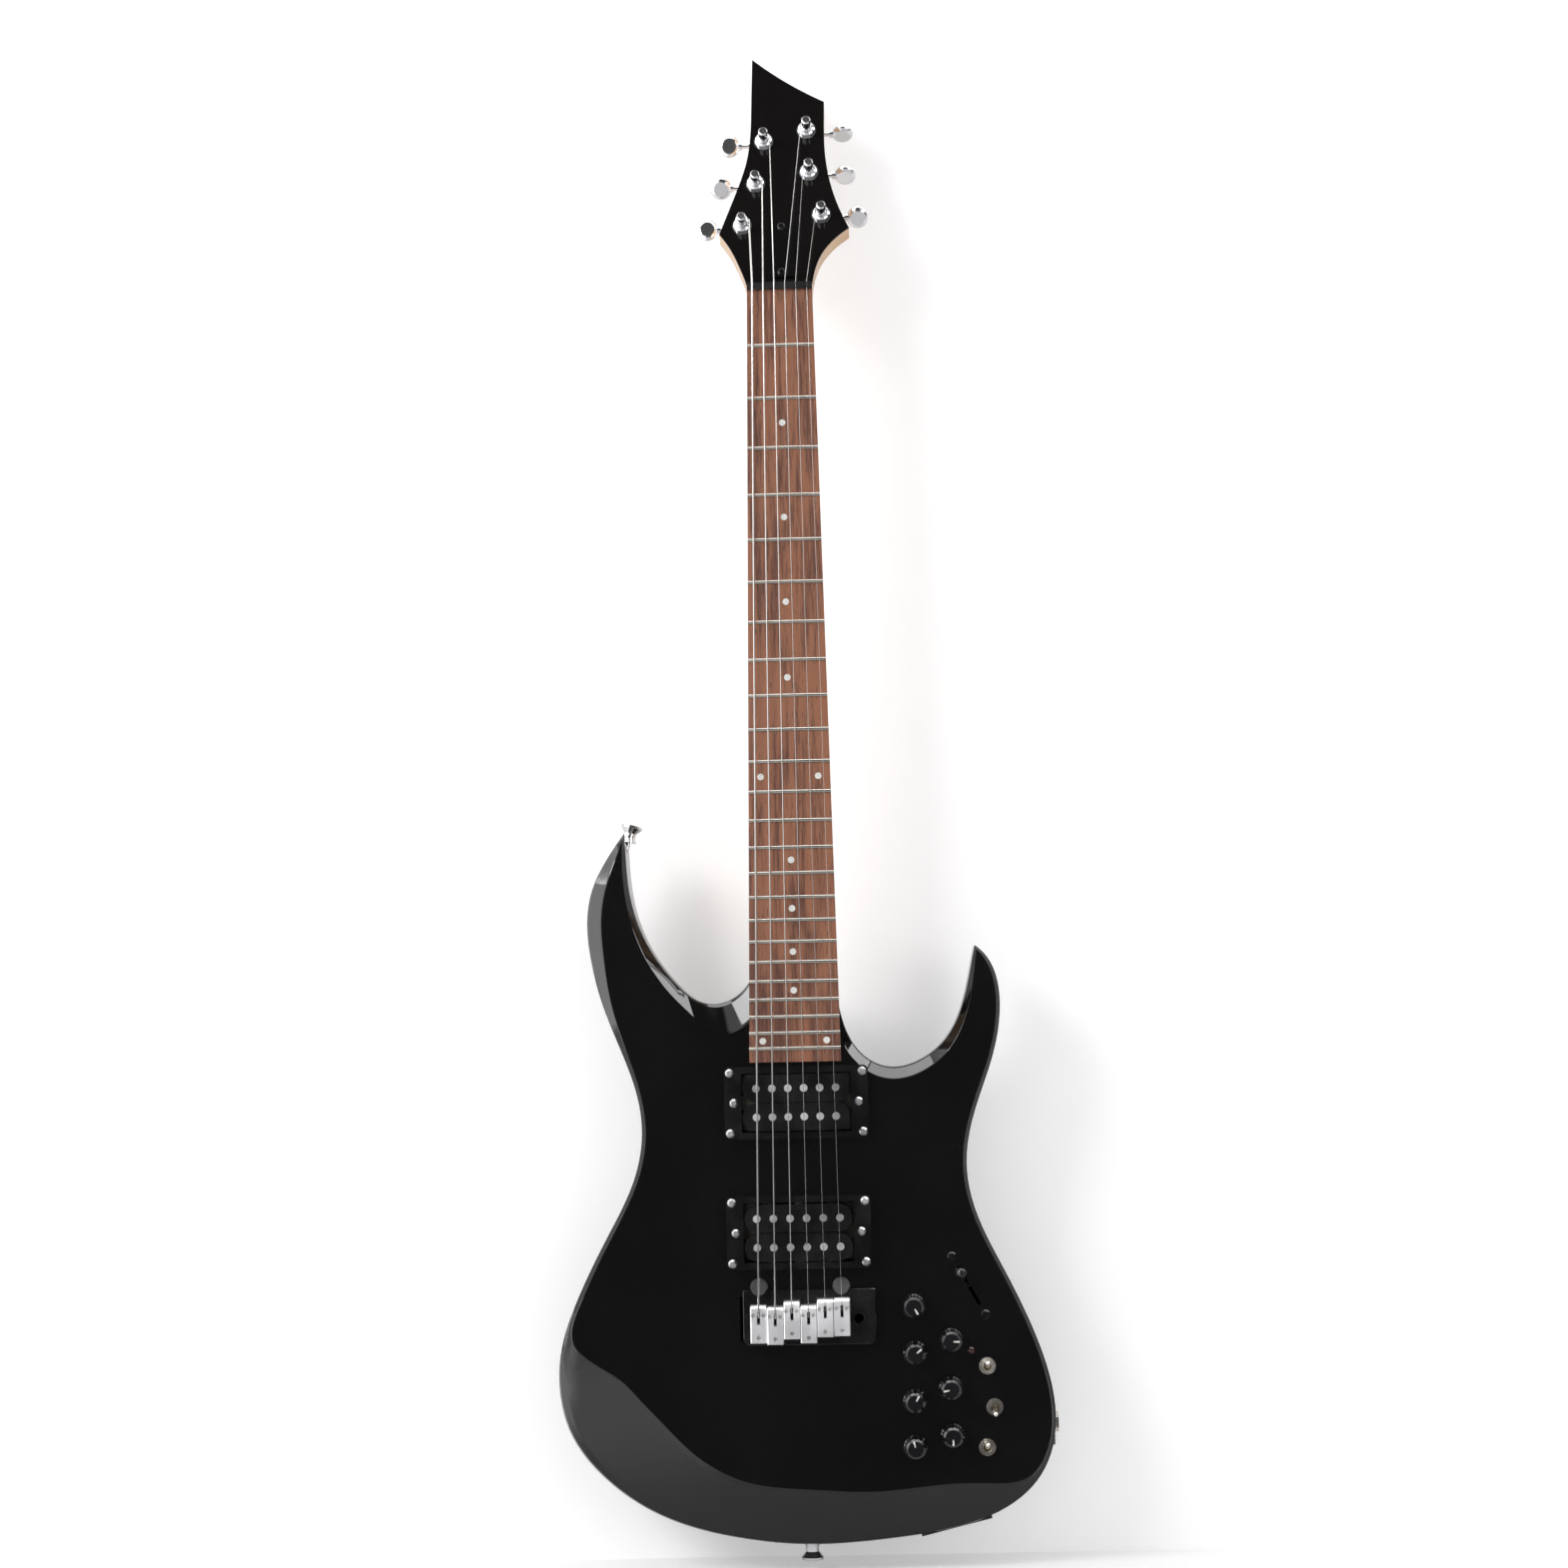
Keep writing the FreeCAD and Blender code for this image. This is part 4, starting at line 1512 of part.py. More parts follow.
def make_cover_plates():
    """Three black plates: spring cover with its restringing slot, control cover, rim plate."""
    holes = [(f"{x}", f"{z} - {TREM_COVER['z']}", "$small_screw_radius") for x, z in TREM_COVER_SCREWS]
    extent = (TREM_COVER["width"] - 0.4, TREM_COVER["height"] - 0.4, "$cover_thick")
    spring = plate_body("spring_cover", extent, 0.8, (TREM_COVER["x"], "$body_depth", TREM_COVER["z"]), holes)
    slot = block("restring_slot", (64, 8, 14), (-32, "$body_depth - 4", -657))
    bay = bay_face(2.8, size("body_depth") - size("cover_thick")).extrude(Vector(0, size("cover_thick"), 0))
    screw_holes = [rod(f"bay_cover_hole_{number}", "$small_screw_radius", 6, (x, "$body_depth - 4", z))
                   for number, (x, z) in enumerate(BAY_COVER_SCREWS)]
    rim = Part.makeBox(RIM_PLATE["length"] - 0.4, RIM_PLATE["height"] - 0.4, RIM_PLATE["thick"],
                       Vector(-RIM_PLATE["length"] / 2 + 0.2, -RIM_PLATE["height"] / 2 + 0.2, 0))
    rim_holes = [Part.makeCylinder(size("small_screw_radius"), 6, Vector(end * 19.0, 0, -2))
                 for end in (-1, 1)]
    return keep("cover_plates", group("cover_set", [
        cut("spring_cover_cut", spring, [slot]), cut("bay_cover_cut", solid("bay_cover", bay), screw_holes),
        solid("rim_cover", rim.cut(rim_holes), rim_frame())]))


def small_screw(length):
    """A small cross-head screw in local coordinates: head from z = 0 up, shank down."""
    shank = Part.makeCylinder(size("small_screw_radius"), length, Vector(0, 0, -length))
    cap = Part.makeCone(size("small_screw_head"), size("small_screw_head") * 0.62, 1.2)
    cross = [Part.makeBox(3.0, 0.6, 1.0, Vector(-1.5, -0.3, 0.6)),
             Part.makeBox(0.6, 3.0, 1.0, Vector(-0.3, -1.5, 0.6))]
    return shank.fuse(cap).cut(cross)


def make_small_screws():
    """Screws of the tuner lugs, truss-rod cover, back covers, jack flange and rim plate."""
    length = size("small_screw_length")
    back = TURNS["+Y"]
    places = [(tuner_screw_placement(index) * Placement(Vector(0, 0, 2.0), Rotation()), 8.0)
              for index in range(STRINGS)]
    places += [(head_placement(x, up) * Placement(Vector(0, 0, 1.6), Rotation()), 8.0)
               for x, up in TRUSS_COVER_SCREWS]
    places += [(Placement(Vector(x, size("body_depth"), z), back), length)
               for x, z in TREM_COVER_SCREWS + BAY_COVER_SCREWS]
    rim_out = size("jack_flat_x") + 1.6
    middle = size("body_depth") / 2
    places += [(Placement(Vector(rim_out, middle, size("jack_z") + end * 9.4), TURNS["+X"]), 9.0)
               for end in (-1, 1)]
    places += [(rim_frame() * Placement(Vector(end * 19.0, 0, RIM_PLATE["thick"]), Rotation()), 9.0)
               for end in (-1, 1)]
    return keep("small_screws", group("small_screw_set", [
        solid(f"small_screw_{number}", small_screw(reach), placement)
        for number, (placement, reach) in enumerate(places)]))


# ---- build and write -------------------------------------------------------------------------

def build_all():
    fill_sheet()
    make_body()
    make_neck()
    make_truss_rod()
    make_headstock_veneer()
    make_truss_rod_cover()
    make_fretboard()
    make_inlay_dots()
    make_frets()
    make_nut()
    for index in range(STRINGS):
        make_tuner_post(index)
        make_tuner_key(index)
    make_tuner_housings()
    make_tuner_bushings()
    make_strings()
    make_string_tails()
    make_trem_plate()
    make_trem_block()
    make_saddles()
    make_saddle_screws()
    make_trem_studs()
    make_trem_springs()
    make_spring_claw()
    make_pickup_rings()
    make_pickup_bobbins()
    make_pickup_poles()
    make_pickup_baseplates()
    make_pickup_screws()
    for index in range(len(KNOBS)):
        make_knob(index)
    make_pots()
    make_toggle_switches()
    for index in range(len(TOGGLES)):
        make_toggle_lever(index)
    make_selector_switch()
    make_selector_lever()
    make_indicator()
    make_circuit_board()
    make_output_jack()
    make_strap_buttons()
    make_neck_plate()
    make_neck_screws()
    make_cover_plates()
    make_small_screws()
    doc.recompute()


def check_and_write():
    faults = [item.Name for item in doc.Objects if "Invalid" in item.State or "Error" in item.State]
    faults += [label for label, item in pieces.items() if item.Shape.isNull() or not item.Shape.isValid()]
    if faults:
        raise ValueError(f"failed objects: {faults}")
    os.makedirs("parts", exist_ok=True)
    for label, item in pieces.items():
        item.Shape.exportStep(os.path.join("parts", label + ".step"))
    print(f"{len(pieces)} nodes written")


build_all()
check_and_write()
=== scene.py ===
"""Looks of a solid-body electric guitar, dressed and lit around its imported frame."""

import logging
import math
from collections.abc import Callable, Sequence
from dataclasses import dataclass
from enum import Enum

import bmesh
import bpy
from mathutils import Matrix, Vector


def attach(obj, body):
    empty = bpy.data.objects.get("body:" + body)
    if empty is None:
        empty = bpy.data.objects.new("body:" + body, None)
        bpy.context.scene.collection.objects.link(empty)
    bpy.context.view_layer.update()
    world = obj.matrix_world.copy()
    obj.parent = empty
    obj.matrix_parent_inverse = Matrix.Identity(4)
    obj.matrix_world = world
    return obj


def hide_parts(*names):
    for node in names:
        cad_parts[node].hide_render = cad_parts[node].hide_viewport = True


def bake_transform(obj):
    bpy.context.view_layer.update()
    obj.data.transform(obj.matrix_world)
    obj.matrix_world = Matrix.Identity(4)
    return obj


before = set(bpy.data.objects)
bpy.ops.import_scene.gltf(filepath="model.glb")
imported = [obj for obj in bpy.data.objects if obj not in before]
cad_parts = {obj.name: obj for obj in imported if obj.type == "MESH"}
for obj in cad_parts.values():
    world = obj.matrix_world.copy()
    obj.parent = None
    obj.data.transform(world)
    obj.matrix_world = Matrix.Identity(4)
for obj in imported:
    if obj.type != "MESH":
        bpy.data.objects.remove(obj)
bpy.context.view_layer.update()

LOG = logging.getLogger("guitar")
MM = 0.001
ANY_SCALE = (1.0, 1.0, 1.0)
PORE_SHADE = (0.012, 0.006, 0.004)
DUST_ON_GLOSS = (0.35, 0.34, 0.33)
DUST_ON_SATIN = (0.30, 0.29, 0.28)
TARNISH_TINT = (0.62, 0.56, 0.48)
Triple = tuple[float, float, float]
Socket = bpy.types.NodeSocket
NodeTree = bpy.types.NodeTree


class Plating(Enum):
    """The metal finishes on the fittings: colour, roughness, and how far scratches roughen it."""

    CHROME = ((0.80, 0.80, 0.82), 0.07, 0.10)
    SATIN_CHROME = ((0.96, 0.96, 0.97), 0.36, 0.08)
    FRET_NICKEL = ((0.42, 0.40, 0.36), 0.27, 0.14)
    WARM_NICKEL = ((0.86, 0.82, 0.75), 0.15, 0.14)
    ZINC = ((0.95, 0.95, 0.95), 0.26, 0.12)
    STEEL = ((0.52, 0.52, 0.53), 0.30, 0.18)
    # Painted shade: this baseplate colour is far darker than bare nickel silver, standing in for the deep
    # shade under the pickups.
    NICKEL_SILVER = ((0.16, 0.15, 0.13), 0.36, 0.16)


class Timber(Enum):
    """The woods: pale colour, dark colour, pore strength, streak length along the grain."""

    ROSEWOOD = ((0.292, 0.122, 0.066), (0.100, 0.034, 0.019), 1.0, 14.0)
    MAPLE = ((0.740, 0.500, 0.290), (0.600, 0.365, 0.190), 0.18, 22.0)


class Tree:
    """A node tree being wired up, for a material or a shared group."""

    def __init__(self, tree: NodeTree) -> None:
        """Starts on a node tree.

        Args:
            tree: the node tree to add nodes to.
        """
        self.tree = tree

    def node(self, kind: str, settings: dict[str, object] | None = None,
             **inputs: object) -> bpy.types.Node:
        """Adds a node.

        Args:
            kind: the node's type name, without the leading "ShaderNode".
            settings: properties set on the node before its inputs.
            inputs: value or output socket for each input, its name in lower case with "_" for spaces.

        Returns:
            The new node.
        """
        made = self.tree.nodes.new(kind if kind.startswith("Node") else f"ShaderNode{kind}")
        for key, value in (settings or {}).items():
            setattr(made, key, value)
        for key, value in inputs.items():
            self.feed(made, key, value)
        return made

    def feed(self, made: bpy.types.Node, key: str | int, value: object) -> None:
        """Sets or links one input of a node.

        Args:
            made: the node whose input is fed.
            key: the input's name in lower case with "_" for spaces, or "in0", "in1" by place.
            value: a plain value, or the output socket to link.
        """
        if key.startswith("in") and key[2:].isdigit():
            target = made.inputs[int(key[2:])]
        else:
            target = next(s for s in made.inputs if s.name.lower().replace(" ", "_") == key)
        if isinstance(value, Socket):
            self.tree.links.new(value, target)
        elif isinstance(value, tuple) and len(value) == 3 and target.type == "RGBA":
            target.default_value = (*value, 1.0)
        else:
            target.default_value = value

    def math(self, operation: str, *values: object) -> Socket:
        """Adds a Math node.

        Args:
            operation: the node's operation, such as "MULTIPLY".
            values: its inputs in order.

        Returns:
            Its output socket.
        """
        made = self.node("Math", {"operation": operation})
        for place, value in enumerate(values):
            self.feed(made, f"in{place}", value)
        return made.outputs[0]

    def span(self, value: object, low: float, high: float, to_low: float = 0.0,
             to_high: float = 1.0) -> Socket:
        """Maps a value smoothly from one range to another.

        Args:
            value: the socket to map.
            low: the start of the range read.
            high: the end of the range read.
            to_low: the result at low.
            to_high: the result at high.

        Returns:
            The mapped socket.
        """
        made = self.node("MapRange", {"interpolation_type": "SMOOTHSTEP"}, value=value, from_min=low,
                         from_max=high, to_min=to_low, to_max=to_high)
        return made.outputs[0]

    def mix(self, share: object, first: object, second: object) -> Socket:
        """Mixes two colours.

        Args:
            share: how much of the second colour shows.
            first: the first colour.
            second: the second colour.

        Returns:
            The mixed colour socket.
        """
        made = self.node("Mix", {"data_type": "RGBA", "blend_type": "MIX"})
        for place, value in ((0, share), (6, first), (7, second)):
            self.feed(made, f"in{place}", value)
        return made.outputs[2]

    def stretched(self, scale: Triple = ANY_SCALE) -> Socket:
        """Object coordinates stretched along the axes.

        Args:
            scale: the scale along X, Y and Z.

        Returns:
            The vector socket.
        """
        place = self.node("TexCoord").outputs["Object"]
        return self.node("Mapping", None, vector=place, scale=scale).outputs[0]

    def noise(self, vector: Socket, scale: float, detail: float = 3.0,
              roughness: float = 0.5) -> Socket:
        """Adds a noise texture.

        Args:
            vector: the coordinates it reads.
            scale: its scale.
            detail: its detail.
            roughness: its roughness.

        Returns:
            The factor socket.
        """
        made = self.node("TexNoise", None, vector=vector, scale=scale, detail=detail, roughness=roughness)
        return made.outputs[0]


def shared_group(name: str, inputs: Sequence[tuple[str, str, object]], outputs: Sequence[tuple[str, str]],
                 wire: Callable[[Tree, bpy.types.Node], dict[str, Socket]]) -> NodeTree:
    """Builds a shader node group once.

    Args:
        name: the group's name.
        inputs: name, socket type and default of each input.
        outputs: name and socket type of each output.
        wire: the function that wires the group from its input node and returns its outputs by name.

    Returns:
        The group.
    """
    if name in bpy.data.node_groups:
        return bpy.data.node_groups[name]
    made = bpy.data.node_groups.new(name, "ShaderNodeTree")
    for label, kind, default in inputs:
        socket = made.interface.new_socket(name=label, in_out="INPUT", socket_type=kind)
        socket.default_value = default
    for label, kind in outputs:
        made.interface.new_socket(name=label, in_out="OUTPUT", socket_type=kind)
    tree = Tree(made)
    start = tree.node("NodeGroupInput")
    end = tree.node("NodeGroupOutput")
    for label, socket in wire(tree, start).items():
        made.links.new(socket, end.inputs[label])
    return made


def handling_wear() -> NodeTree:
    """The group of fine scratches and finger marks: roughness and height from a base roughness."""

    def wire(tree: Tree, start: bpy.types.Node) -> dict[str, Socket]:
        directions = ((1500, 260, 90), (90, 260, 1500))
        scratches = [tree.noise(tree.stretched(scale), 1.0, 2.0) for scale in directions]
        lines = [tree.span(scratch, 0.66, 0.74, 0.0, 1.0) for scratch in scratches]
        scratch = tree.math("MAXIMUM", *lines)
        smears = tree.span(tree.noise(tree.stretched(), 34.0, 4.0), 0.42, 0.70, 0.0, 1.0)
        worn = tree.math("MULTIPLY", tree.math("ADD", tree.math("MULTIPLY", scratch, 0.55), smears),
                         start.outputs["Amount"])
        return {"Roughness": tree.math("ADD", start.outputs["Base"], worn),
                "Height": tree.math("MULTIPLY", scratch, -1.0)}

    return shared_group("handling_wear",
                        [("Base", "NodeSocketFloat", 0.1), ("Amount", "NodeSocketFloat", 0.1)],
                        [("Roughness", "NodeSocketFloat"), ("Height", "NodeSocketFloat")], wire)


def timber_grain() -> NodeTree:
    """The group of long grain: colour, roughness share and pore height, running along Z."""

    def wire(tree: Tree, start: bpy.types.Node) -> dict[str, Socket]:
        ends = start.outputs
        place = tree.node("TexCoord").outputs["Object"]
        squeeze = tree.node("CombineXYZ", None, x=1.0, y=1.0, z=tree.math("DIVIDE", 1.0, ends["Streak"]))
        squeezed = tree.node("VectorMath", {"operation": "MULTIPLY"}, in0=place, in1=squeeze.outputs[0])
        along = squeezed.outputs[0]
        broad = tree.span(tree.noise(along, 150.0, 5.0, 0.6), 0.34, 0.66, 0.0, 1.0)
        fine = tree.span(tree.noise(along, 620.0, 4.0, 0.65), 0.40, 0.66, 0.0, 1.0)
        drift = tree.noise(place, 9.0, 3.0)
        figure = tree.math("ADD", tree.math("MULTIPLY", broad, 0.62), tree.math("MULTIPLY", fine, 0.38))
        lifted = tree.math("ADD", figure, tree.math("MULTIPLY", tree.math("SUBTRACT", drift, 0.5), 0.9))
        colour = tree.mix(tree.span(lifted, 0.1, 0.95, 0.0, 1.0), ends["Pale"], ends["Dark"])
        pores = tree.span(tree.noise(along, 1500.0, 2.0), 0.63, 0.70, 0.0, 1.0)
        pored = tree.mix(tree.math("MULTIPLY", tree.math("MULTIPLY", pores, ends["Pores"]), 0.75), colour,
                         PORE_SHADE)
        return {"Colour": pored, "Dull": tree.math("MAXIMUM", figure, pores),
                "Height": tree.math("MULTIPLY", pores, tree.math("MULTIPLY", ends["Pores"], -1.0))}

    return shared_group("timber_grain",
                        [("Pale", "NodeSocketColor", (0.5, 0.3, 0.2, 1)),
                         ("Dark", "NodeSocketColor", (0.1, 0, 0, 1)),
                         ("Pores", "NodeSocketFloat", 1.0), ("Streak", "NodeSocketFloat", 14.0)],
                        [("Colour", "NodeSocketColor"), ("Dull", "NodeSocketFloat"),
                         ("Height", "NodeSocketFloat")], wire)


def settled_dust() -> NodeTree:
    """The group of dust and lint specks: a mask for colour and roughness."""

    def wire(tree: Tree, start: bpy.types.Node) -> dict[str, Socket]:
        cells = tree.node("TexVoronoi", None, vector=tree.stretched(), scale=520.0)
        speck = tree.span(cells.outputs["Distance"], 0.05, 0.11, 1.0, 0.0)
        where = tree.span(tree.noise(tree.stretched(), 60.0), 0.52, 0.72, 0.0, 1.0)
        return {"Mask": tree.math("MULTIPLY", tree.math("MULTIPLY", speck, where), start.outputs["Amount"])}

    return shared_group("settled_dust", [("Amount", "NodeSocketFloat", 0.2)],
                        [("Mask", "NodeSocketFloat")], wire)


class Finish:
    """A material with a Principled shader, wired by each finish in its own way."""

    def start(self, name: str) -> tuple[bpy.types.Material, Tree, bpy.types.Node]:
        """Starts the material.

        Args:
            name: the material's name.

        Returns:
            The material, its node tree and its Principled shader.
        """
        made = bpy.data.materials.new(name)
        made.use_nodes = True
        tree = Tree(made.node_tree)
        shader = next(n for n in made.node_tree.nodes if n.type == "BSDF_PRINCIPLED")
        return made, tree, shader

    def group(self, tree: Tree, group: NodeTree, **inputs: object) -> bpy.types.Node:
        """Places a shared group in the material.

        Args:
            tree: the material's tree.
            group: the shared group.
            inputs: its input values.

        Returns:
            The group's node.
        """
        made = tree.node("Group", {"node_tree": group})
        for key, value in inputs.items():
            tree.feed(made, key, value)
        return made

    def bump(self, tree: Tree, shader: bpy.types.Node, height: Socket,
             depth_mm: float) -> None:
        """Feeds a height to the shader's normal.

        Args:
            tree: the material's tree.
            shader: the Principled shader.
            height: the height socket.
            depth_mm: how deep a height of one is, in millimetres.
        """
        made = tree.node("Bump", None, height=height, strength=1.0, distance=depth_mm * MM)
        tree.feed(shader, "normal", made.outputs[0])


@dataclass(frozen=True)
class Gloss(Finish):
    """Deep gloss: lacquered wood or polished plastic, with orange peel, wear and dust."""

    name: str
    colour: Triple = (0.0028, 0.0026, 0.0030)
    roughness: float = 0.035
    wear: float = 0.05
    peel_mm: float = 0.0035
    coat: float = 0.08
    coat_roughness: float = 0.03
    dust: float = 0.05
    cloud_scale: float = 14.0
    peel_scale: float = 420.0

    def material(self) -> bpy.types.Material:
        """Builds the material."""
        made, tree, shader = self.start(self.name)
        wear = self.group(tree, handling_wear(), base=self.roughness, amount=self.wear)
        dust = self.group(tree, settled_dust(), amount=self.dust)
        cloud = tree.span(tree.noise(tree.stretched(), self.cloud_scale, 3.0), 0.35, 0.7, 0.0, 1.0)
        tint = tree.mix(cloud, self.colour, tuple(min(1.0, c * 1.35 + 0.0004) for c in self.colour))
        tree.feed(shader, "base_color", tree.mix(dust.outputs[0], tint, DUST_ON_GLOSS))
        tree.feed(shader, "roughness", wear.outputs["Roughness"])
        peel = tree.noise(tree.stretched(), self.peel_scale, 2.0)
        tree.feed(shader, "coat_weight", self.coat)
        tree.feed(shader, "coat_roughness", self.coat_roughness)
        self.bump(tree, shader, peel, self.peel_mm)
        return made


@dataclass(frozen=True)
class Moulded(Finish):
    """Satin plastic with a fine moulded grain, wear and dust."""

    name: str
    colour: Triple = (0.012, 0.012, 0.013)
    roughness: float = 0.34
    grain_mm: float = 0.02
    grain_scale: float = 2600.0
    mottle_scale: float = 90.0
    wear: float = 0.12
    dust: float = 0.25

    def material(self) -> bpy.types.Material:
        """Builds the material."""
        made, tree, shader = self.start(self.name)
        wear = self.group(tree, handling_wear(), base=self.roughness, amount=self.wear)
        dust = self.group(tree, settled_dust(), amount=self.dust)
        mottle = tree.span(tree.noise(tree.stretched(), self.mottle_scale, 4.0), 0.35, 0.65, 0.0, 1.0)
        tint = tree.mix(mottle, self.colour, tuple(min(1.0, c * 1.6 + 0.002) for c in self.colour))
        tree.feed(shader, "base_color", tree.mix(dust.outputs[0], tint, DUST_ON_SATIN))
        tree.feed(shader, "roughness", wear.outputs["Roughness"])
        grain = tree.noise(tree.stretched(), self.grain_scale, 2.0)
        self.bump(tree, shader, grain, self.grain_mm)
        return made


@dataclass(frozen=True)
class Metal(Finish):
    """Plated or bare metal with directional brushing, wear and tarnish."""

    name: str
    plating: Plating
    brush_mm: float = 0.002
    brush_scale: Triple = (2400, 2400, 160)
    tarnish: float = 0.15
    tarnish_scale: float = 75.0

    def material(self) -> bpy.types.Material:
        """Builds the material."""
        made, tree, shader = self.start(self.name)
        colour, roughness, amount = self.plating.value
        wear = self.group(tree, handling_wear(), base=roughness, amount=amount)
        patch = tree.span(tree.noise(tree.stretched(), self.tarnish_scale, 5.0, 0.6), 0.45, 0.75, 0.0, 1.0)
        dull = tuple(c * s for c, s in zip(colour, TARNISH_TINT))
        tree.feed(shader, "base_color", tree.mix(tree.math("MULTIPLY", patch, self.tarnish), colour, dull))
        tree.feed(shader, "metallic", 1.0)
        tree.feed(shader, "roughness", wear.outputs["Roughness"])
        brushed = tree.noise(tree.stretched(self.brush_scale), 1.0, 3.0)
        height = tree.math("ADD", brushed, wear.outputs["Height"])
        self.bump(tree, shader, height, self.brush_mm)
        return made


@dataclass(frozen=True)
class Wood(Finish):
    """Timber with its grain along the neck, bare, oiled or lacquered."""

    name: str
    timber: Timber
    roughness: float = 0.42
    pore_mm: float = 0.06
    coat: float = 0.0
    coat_roughness: float = 0.16
    smoother: float = 0.06
    duller: float = 0.10

    def material(self) -> bpy.types.Material:
        """Builds the material."""
        made, tree, shader = self.start(self.name)
        pale, dark, pores, streak = self.timber.value
        grain = self.group(tree, timber_grain(), pale=pale, dark=dark, pores=pores, streak=streak)
        tree.feed(shader, "base_color", grain.outputs["Colour"])
        rough = tree.span(grain.outputs["Dull"], 0.0, 1.0, self.roughness - self.smoother,
                          self.roughness + self.duller)
        tree.feed(shader, "roughness", rough)
        tree.feed(shader, "coat_weight", self.coat)
        tree.feed(shader, "coat_roughness", self.coat_roughness)
        self.bump(tree, shader, grain.outputs["Height"], self.pore_mm)
        return made


@dataclass(frozen=True)
class Wire(Finish):
    """String wire: the three bass strings, at negative X, are wound; the others are plain."""

    name: str
    turns_per_m: float = 2600.0
    wrap_mm: float = 0.005
    plain: Triple = (0.44, 0.44, 0.43)
    wound: Triple = (0.60, 0.59, 0.57)
    # Painted shade: this dark colour, at the share set two lines down, is laid into the grooves between the
    # wraps of the wound strings.
    groove_shade: Triple = (0.20, 0.19, 0.18)
    stained: Triple = (0.40, 0.37, 0.32)
    groove_shade_share: float = 0.20
    stain_share: float = 0.22

    def material(self) -> bpy.types.Material:
        """Builds the material."""
        made, tree, shader = self.start(self.name)
        place = tree.node("SeparateXYZ", None, vector=tree.node("TexCoord").outputs["Object"])
        winding = tree.math("LESS_THAN", place.outputs["X"], 0.0)
        turn = tree.math("SINE", tree.math("MULTIPLY", place.outputs["Z"], self.turns_per_m * math.tau))
        wraps = tree.math("MULTIPLY", tree.math("ADD", tree.math("MULTIPLY", turn, 0.5), 0.5), winding)
        stain = tree.span(tree.noise(tree.stretched((60, 60, 8)), 1.0, 5.0), 0.40, 0.72, 0.0, 1.0)
        base = tree.mix(winding, self.plain, self.wound)
        # Painted shade: the wound strings are darkened in the grooves between their wraps.
        depth = tree.math("MULTIPLY", tree.math("SUBTRACT", winding, wraps), self.groove_shade_share)
        shaded = tree.mix(depth, base, self.groove_shade)
        grime = tree.math("MULTIPLY", stain, self.stain_share)
        tree.feed(shader, "base_color", tree.mix(grime, shaded, self.stained))
        tree.feed(shader, "metallic", 1.0)
        tree.feed(shader, "roughness", tree.span(stain, 0.0, 1.0, 0.18, 0.36))
        self.bump(tree, shader, wraps, self.wrap_mm)
        return made


@dataclass(frozen=True)
class Pearl(Finish):
    """White inlay plastic with a faint mother-of-pearl drift."""

    name: str
    colour: Triple = (0.80, 0.79, 0.75)
    drift_colour: Triple = (0.62, 0.63, 0.60)
    drift_mm: float = 0.008
    roughness: float = 0.18
    wear: float = 0.12

    def material(self) -> bpy.types.Material:
        """Builds the material."""
        made, tree, shader = self.start(self.name)
        wear = self.group(tree, handling_wear(), base=self.roughness, amount=self.wear)
        drift = tree.span(tree.noise(tree.stretched((1, 1, 2)), 700.0, 4.0), 0.35, 0.68, 0.0, 1.0)
        tree.feed(shader, "base_color", tree.mix(drift, self.colour, self.drift_colour))
        tree.feed(shader, "roughness", wear.outputs["Roughness"])
        self.bump(tree, shader, drift, self.drift_mm)
        return made


@dataclass(frozen=True)
class Laminate(Finish):
    """Printed circuit board: solder resist over copper runs, with tinned joints."""

    name: str
    cell_scale: float = 260.0
    resist: Triple = (0.006, 0.075, 0.030)
    over_copper: Triple = (0.012, 0.14, 0.055)
    tin: Triple = (0.70, 0.70, 0.68)
    relief_mm: float = 0.05

    def material(self) -> bpy.types.Material:
        """Builds the material."""
        made, tree, shader = self.start(self.name)
        cells = tree.node("TexVoronoi", {"distance": "CHEBYCHEV"}, vector=tree.stretched(),
                          scale=self.cell_scale)
        run = tree.span(cells.outputs["Distance"], 0.30, 0.36, 0.0, 1.0)
        joint = tree.span(cells.outputs["Distance"], 0.10, 0.14, 1.0, 0.0)
        board = tree.mix(run, self.resist, self.over_copper)
        tree.feed(shader, "base_color", tree.mix(joint, board, self.tin))
        tree.feed(shader, "metallic", joint)
        tree.feed(shader, "roughness", tree.span(joint, 0.0, 1.0, 0.42, 0.24))
        self.bump(tree, shader, tree.math("ADD", run, joint), self.relief_mm)
        return made


@dataclass(frozen=True)
class Dressing:
    """A finish and the nodes of the frame that wear it."""

    finish: Finish
    nodes: tuple[str, ...]

    def apply(self) -> bpy.types.Material:
        """Puts the finish on its nodes.

        Returns:
            The material.
        """
        made = self.finish.material()
        for name in self.nodes:
            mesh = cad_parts[name].data
            mesh.materials.clear()
            mesh.materials.append(made)
        LOG.info("%s on %d nodes", made.name, len(self.nodes))
        return made


def numbered(stem: str, count: int) -> tuple[str, ...]:
    """The names stem_1 to stem_count."""
    return tuple(f"{stem}_{i}" for i in range(1, count + 1))


